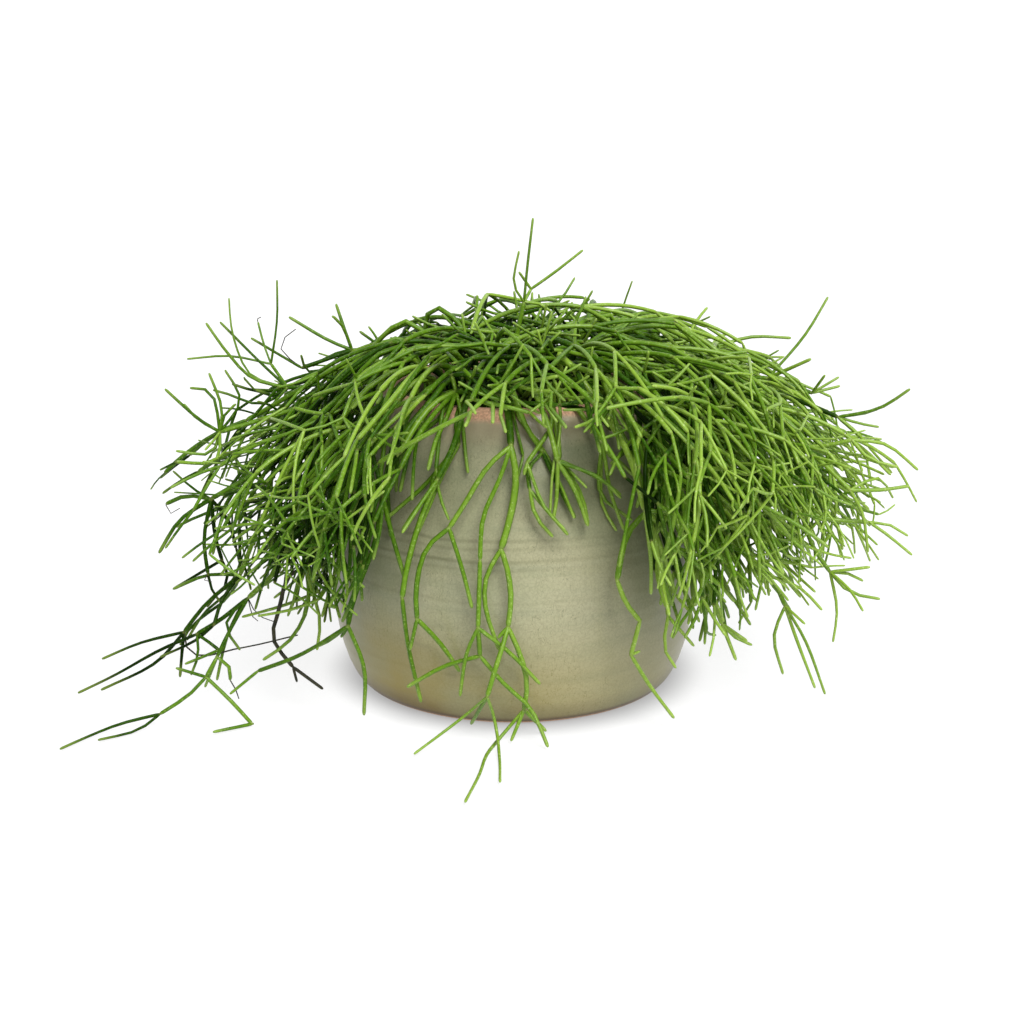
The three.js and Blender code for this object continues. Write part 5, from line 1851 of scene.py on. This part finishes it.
def lathed(name: str, profile: Sequence[Pair], sides: int) -> bmesh.types.BMesh:
    """A closed body, turned round the pot's axis.

    Args:
        name: What it is, for the message where it stays open.
        profile: Its outline as pairs of a radius and a height in mm, from axis to axis.
        sides: How many sides it has.

    Returns:
        The body, in metres.
    """
    bm = bmesh.new()
    corners, edges = outlined(bm, [(radius * MM, 0.0, z * MM) for radius, z in profile])
    bmesh.ops.spin(bm, geom=corners + edges, cent=(0, 0, 0), axis=(0, 0, 1), angle=FULL_TURN,
                   steps=sides, use_merge=True, use_duplicate=False)
    bmesh.ops.remove_doubles(bm, verts=bm.verts, dist=WELD)
    bmesh.ops.recalc_face_normals(bm, faces=bm.faces)
    if any(not edge.is_manifold for edge in bm.edges):
        raise ValueError(f"{name} isn't closed")
    return bm


@dataclass(frozen=True)
class ThrownPot:
    """The pot: turned, with faint rings where the potter's fingers passed, and a soft rounded lip."""
    sides: int = 160
    ring_spacing: float = 2.2
    ring_depth: float = 0.16
    ring_lengths: Pair = (4.6, 7.9)
    smooth_ends: Pair = (12.0, 10.0)
    band_heights: Tuple[float, ...] = (100.0, 93.0, 86.0)
    band_depth: float = 0.35
    band_width: float = 1.3
    lip_steps: int = 8
    cavity_step: float = 8.0
    foot_bevel: float = 0.6
    unround: float = 0.35
    unround_ends: Pair = (20.0, 8.0)
    unround_twist: float = 40.0

    @staticmethod
    def within(z: float, ends: Pair) -> float:
        """From 0 at the foot and the lip to 1 further than ends from them."""
        return clamped(z / ends[0]) * clamped((POT.height - z) / ends[1])

    def outer_radius(self, z: float) -> float:
        """The outer radius at a height, with the potter's rings."""
        first, second = self.ring_lengths
        ring = math.sin(FULL_TURN * z / first) + math.sin(FULL_TURN * z / second + 1.0)
        bands = sum(math.exp(-((z - at) / self.band_width) ** 2) for at in self.band_heights)
        depth = self.ring_depth * ring / 2 + self.band_depth * bands
        return POT.radius(z) - self.within(z, self.smooth_ends) * depth

    def profile(self) -> List[Pair]:
        """The pot's outline, from the middle of its foot round the lip to the middle of its cavity."""
        top = POT.height - POT.lip_rounding
        count = round((top - POT.foot_edge) / self.ring_spacing)
        heights = [POT.foot_edge + (top - POT.foot_edge) * k / count for k in range(count)]
        outline = [(0.0, 0.0), (POT.foot_radius - POT.foot_edge / 2, 0.0)]
        outline += [(POT.radius(POT.foot_edge / 2) - self.foot_bevel, POT.foot_edge / 3)]
        outline += [(self.outer_radius(z), z) for z in heights]
        middle = POT.rim_radius - POT.wall / 2
        half = POT.wall / 2
        for k in range(self.lip_steps + 1):
            turn = math.pi * k / self.lip_steps
            outline.append((middle + half * math.cos(turn), top + POT.lip_rounding * math.sin(turn)))
        z = top - self.cavity_step
        while z > POT.floor_thickness:
            outline.append((POT.radius(z) - POT.wall, z))
            z -= self.cavity_step
        outline.append((POT.radius(POT.floor_thickness) - POT.wall, POT.floor_thickness))
        outline.append((0.0, POT.floor_thickness))
        return outline

    def build(self, glaze: Material) -> Object:
        """Builds the pot in its glaze."""
        bm = lathed("pot", self.profile(), self.sides)
        for corner in bm.verts:
            azimuth = math.atan2(corner.co.y, corner.co.x)
            z = corner.co.z / MM
            give = self.unround * self.within(z, self.unround_ends)
            give *= math.sin(2 * azimuth + z / self.unround_twist)
            rho = math.hypot(corner.co.x, corner.co.y)
            if rho > 0:
                corner.co.x *= 1 + give * MM / rho
                corner.co.y *= 1 + give * MM / rho
        pot = add_object("glazed_pot", mesh_of(bm, "glazed_pot"), [glaze])
        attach(pot, BODY)
        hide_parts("pot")
        return pot


@dataclass(frozen=True)
class SoilFill:
    """The soil: a body that fills the pot up to a loose, lumpy top, with crumbs lying on it."""
    sides: int = 72
    seat_gap: float = 0.35
    edge_drop: float = 3.0
    edge_gap: float = 1.2
    wall_heights: Tuple[float, ...] = (28.0, POT.belly_z, 92.0, 126.0)
    level_radius: float = 54.0
    level_slack: float = 0.1
    top_rings: int = 14
    lump_height: float = 1.6
    lump_scale: float = 0.09
    crumbs: int = 420
    crumb_sizes: Pair = (0.7, 2.1)
    crumb_widths: Pair = (0.6, 1.0)
    crumb_heights: Pair = (0.5, 0.9)
    crumb_rise: float = 0.25
    crumb_turn: float = 3.0
    seed: int = 11

    def profile(self) -> List[Pair]:
        """The soil's outline, from the middle of its bottom to the middle of its top."""
        floor = POT.floor_thickness + self.seat_gap
        edge = POT.soil_z - self.edge_drop
        outline = [(0.0, floor), (POT.radius(POT.floor_thickness) - POT.wall - self.seat_gap, floor)]
        outline += [(POT.radius(z) - POT.wall - self.seat_gap, z) for z in self.wall_heights]
        outline.append((POT.radius(edge) - POT.wall - self.edge_gap, edge))
        for k in range(self.top_rings):
            outline.append((self.level_radius * (1 - k / self.top_rings), POT.soil_z))
        outline.append((0.0, POT.soil_z))
        return outline

    def lump(self, x: float, y: float) -> float:
        """How far the soil's top stands up or down at a point, in mm."""
        return self.lump_height * noise.noise(Vector((x * self.lump_scale, y * self.lump_scale, 0.5)))

    def build(self, finish: Material) -> Object:
        """Builds the soil in its finish."""
        bm = lathed("soil", self.profile(), self.sides)
        for corner in bm.verts:
            if corner.co.z > (POT.soil_z - self.level_slack) * MM:
                corner.co.z += self.lump(corner.co.x / MM, corner.co.y / MM) * MM
        draws = Draws(self.seed)
        for _ in range(self.crumbs):
            rho = self.level_radius * math.sqrt(draws.next())
            x, y, _z = out_at(draws.between(0, FULL_TURN), rho, 0.0)
            size = draws.between(*self.crumb_sizes)
            seat = POT.soil_z + self.lump(x, y) + size * self.crumb_rise
            turn = Euler([draws.between(0, self.crumb_turn) for _ in range(3)]).to_matrix().to_4x4()
            width, height = draws.between(*self.crumb_widths), draws.between(*self.crumb_heights)
            shape = Matrix.Diagonal((1.0, width, height, 1.0))
            place = Matrix.Translation(Vector((x, y, seat)) * MM) @ turn @ shape
            bmesh.ops.create_icosphere(bm, subdivisions=1, radius=size * MM, matrix=place)
        soil = add_object("loose_soil", mesh_of(bm, "loose_soil"), [finish])
        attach(soil, BODY)
        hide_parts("soil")
        return soil


# Plant and studio

# How much brighter the stems of a traced spray are than the stems round them

TRACED_LIFTS: Dict[str, float] = {
    "spray_right_front": 0.24, "spray_top_shoots": 0.2, "spray_left_trail": 0.3,
    "spray_left_trail_back": 0.24, "spray_front_left_bright": 0.06, "spray_front_left_dark": 0.06,
    "spray_front_middle": 0.08, "spray_front_right_short": 0.16, "spray_front_right_fine": 0.1,
    "spray_left_top": -0.14, "spray_left_top_far": -0.1,
}


@dataclass(frozen=True)
class Palette:
    """How bright a stem's green is, with painted light and shade: painted light makes it brighter to the
    right and at the front, and painted shade darker deep in the mass and low on the left.

    kinship is the share of its parent's own shade that a stem keeps, and patch how much the shade
    changes from place to place. crown is how much darker the stems are that lie over the soil, and rim how
    much painted shade darkens those that stand within the rim. Traced stems are free of both: painted shade
    darkens them in the mass by traced_crowd_shade at most, and they change at random by traced_spread as
    much as the others.
    """
    middle: float = 0.67
    spread: float = 0.22
    first_spread: float = 0.3
    kinship: float = 0.8
    patch: float = 0.32
    patch_sizes: Point = (14.0, 17.0, 12.0)
    crown: float = 0.1
    crown_radius: float = 120.0
    crown_z: float = 155.0
    crown_top: float = 198.0
    # Painted shade on the stems that stand within the rim
    rim: float = 0.52
    rim_radius: float = 80.0
    rim_z: float = 184.0
    rim_depth: float = 22.0
    # Painted light brighter to the right and at the front, and painted shade low on the left
    rightward: float = 0.0013
    low_left_shade: float = 0.0021
    low_z: float = 130.0
    low_depth: float = 60.0
    front_light: float = 0.0004
    # Painted shade where other stems crowd a stem's way out of the mass and up
    crowd_shade: float = 0.03
    most_crowd_shade: float = 0.74
    traced_crowd_shade: float = 0.3
    traced_spread: float = 0.5
    centre_z: float = 120.0
    above: float = 0.35
    distances: Tuple[float, ...] = (7.0, 13.0, 19.0, 25.0, 31.0, 37.0)
    seed: int = 77

    def tone_of(self, stem: Stem, name: str, thicket: Thicket, draws: Draws) -> float:
        """The tone, from 0 to 1, of a stem of the spray with that name, its painted light and shade
        included.
        """
        middle = stem.route[len(stem.route) // 2]
        # Painted shade: how crowded a stem's way out of the mass and up is
        out = unit(minus(middle, (0.0, 0.0, self.centre_z)))
        crowd = thicket.crowding(middle, unit(plus(out, UP, self.above)), self.distances)
        # Painted light to the right and at the front, painted shade low on the left
        place = self.rightward * middle[0] - self.front_light * middle[1]
        place += self.low_left_shade * min(0.0, middle[0]) * clamped((self.low_z - middle[2]) / self.low_depth)
        traced = name in TRACED_LIFTS and not stem.generation
        stem.shade = (self.spread if stem.parent else self.first_spread) * (draws.next() + draws.next() - 1)
        if traced:
            stem.shade *= self.traced_spread
        if stem.parent:
            stem.shade += self.kinship * stem.parent.shade
        place += self.patch * math.prod(math.sin(at / size) for at, size in zip(middle, self.patch_sizes))
        rho = from_axis(middle)
        most_crowd_shade = self.traced_crowd_shade if traced else self.most_crowd_shade
        if traced:
            place += TRACED_LIFTS[name]
        elif self.crown_z < middle[2] < self.crown_top:
            place -= self.crown * clamped(2 - 2 * rho / self.crown_radius)
        # Painted shade within the rim
        if rho < self.rim_radius and not traced:
            place -= self.rim * clamped((self.rim_z - middle[2]) / self.rim_depth)
        return clamped(self.middle + place + stem.shade - min(most_crowd_shade, self.crowd_shade * crowd))


@dataclass(frozen=True)
class Sprays:
    """The plant's sprays, each a piece of its own in place of its node."""
    plant: Plant
    palette: Palette = Palette()
    form: TubeForm = TubeForm()

    def build(self, green: Material, dry: Material) -> List[Object]:
        """Builds all sprays in their two skins."""
        draws = Draws(self.palette.seed)
        stems = self.plant.thicket.stems
        carried = {id(stem.parent) for stem in stems if stem.parent}
        meshes = [SprayMesh(self.form) for _ in self.plant.names]
        for stem in stems:
            name = self.plant.names[stem.spray]
            stem.tone = self.palette.tone_of(stem, name, self.plant.thicket, draws)
            meshes[stem.spray].add(stem, id(stem) not in carried)
        built = []
        for name, spray in zip(self.plant.names, meshes):
            piece = add_object(f"{name}_stems", spray.finish_mesh(f"{name}_stems"), [green, dry])
            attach(piece, BODY)
            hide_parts(name)
            built.append(piece)
        return built


@dataclass(frozen=True)
class Studio:
    """A pale floor that sweeps up behind the plant, under a soft sky and a broad sun."""
    width: float = 30.0
    front: float = -5.0
    back: float = 6.0
    sweep_radius: float = 2.5
    sweep_steps: int = 16
    height: float = 9.0
    sky: float = 0.42
    sun: float = 4.0
    sun_spread: float = 32.0
    sun_from: Point = (0.35, -0.75, 1.0)

    def profile(self) -> List[Pair]:
        """The floor's outline from the front up the backdrop, as pairs of a depth and a height."""
        outline = [(self.front, 0.0), (self.back, 0.0)]
        for k in range(1, self.sweep_steps + 1):
            turn = math.pi / 2 * k / self.sweep_steps
            outline.append((self.back + self.sweep_radius * math.sin(turn),
                            self.sweep_radius * (1 - math.cos(turn))))
        outline.append((self.back + self.sweep_radius, self.height))
        return outline

    def build_floor(self, finish: Material) -> Object:
        """Builds the floor and its backdrop."""
        bm = bmesh.new()
        _corners, edges = outlined(bm, [(-self.width / 2, y, z) for y, z in self.profile()])
        drawn_out(bm, edges, (self.width, 0.0, 0.0))
        bmesh.ops.recalc_face_normals(bm, faces=bm.faces)
        floor = add_object("floor", mesh_of(bm, "floor"), [finish])
        return floor

    def light(self) -> None:
        """Lights the scene."""
        scene = bpy.context.scene
        scene.world = bpy.data.worlds.new("studio")
        scene.world.use_nodes = True
        sky = scene.world.node_tree.nodes["Background"]
        sky.inputs[0].default_value = WHITE
        sky.inputs[1].default_value = self.sky
        scene.view_settings.view_transform = "Standard"
        light = bpy.data.lights.new("sun", "SUN")
        light.energy = self.sun
        light.angle = math.radians(self.sun_spread)
        lamp = bpy.data.objects.new("sun", light)
        lamp.rotation_euler = (-Vector(self.sun_from)).to_track_quat("-Z", "Y").to_euler()
        scene.collection.objects.link(lamp)


def main() -> None:
    """Builds the dressed plant, from the camera to the light."""
    logging.basicConfig(level=logging.INFO, format="%(message)s")
    VIEW.make_camera()
    pot = ThrownPot().build(GlazeFinish().make())
    soil = SoilFill().build(SOIL_CRUMBS.make())
    plant = Plant()
    plant.grow()
    plant.grow_over_rim()
    FineGrowth().grow(plant)
    sprays = Sprays(plant).build(StemFinish().make(), DRY_SKIN.make())
    studio = Studio()
    floor = studio.build_floor(FloorFinish().make())
    studio.light()
    for piece in (pot, soil, *sprays, floor):
        LOG.info("%s: %d faces", piece.name, len(piece.data.polygons))


if __name__ == "__main__":
    main()
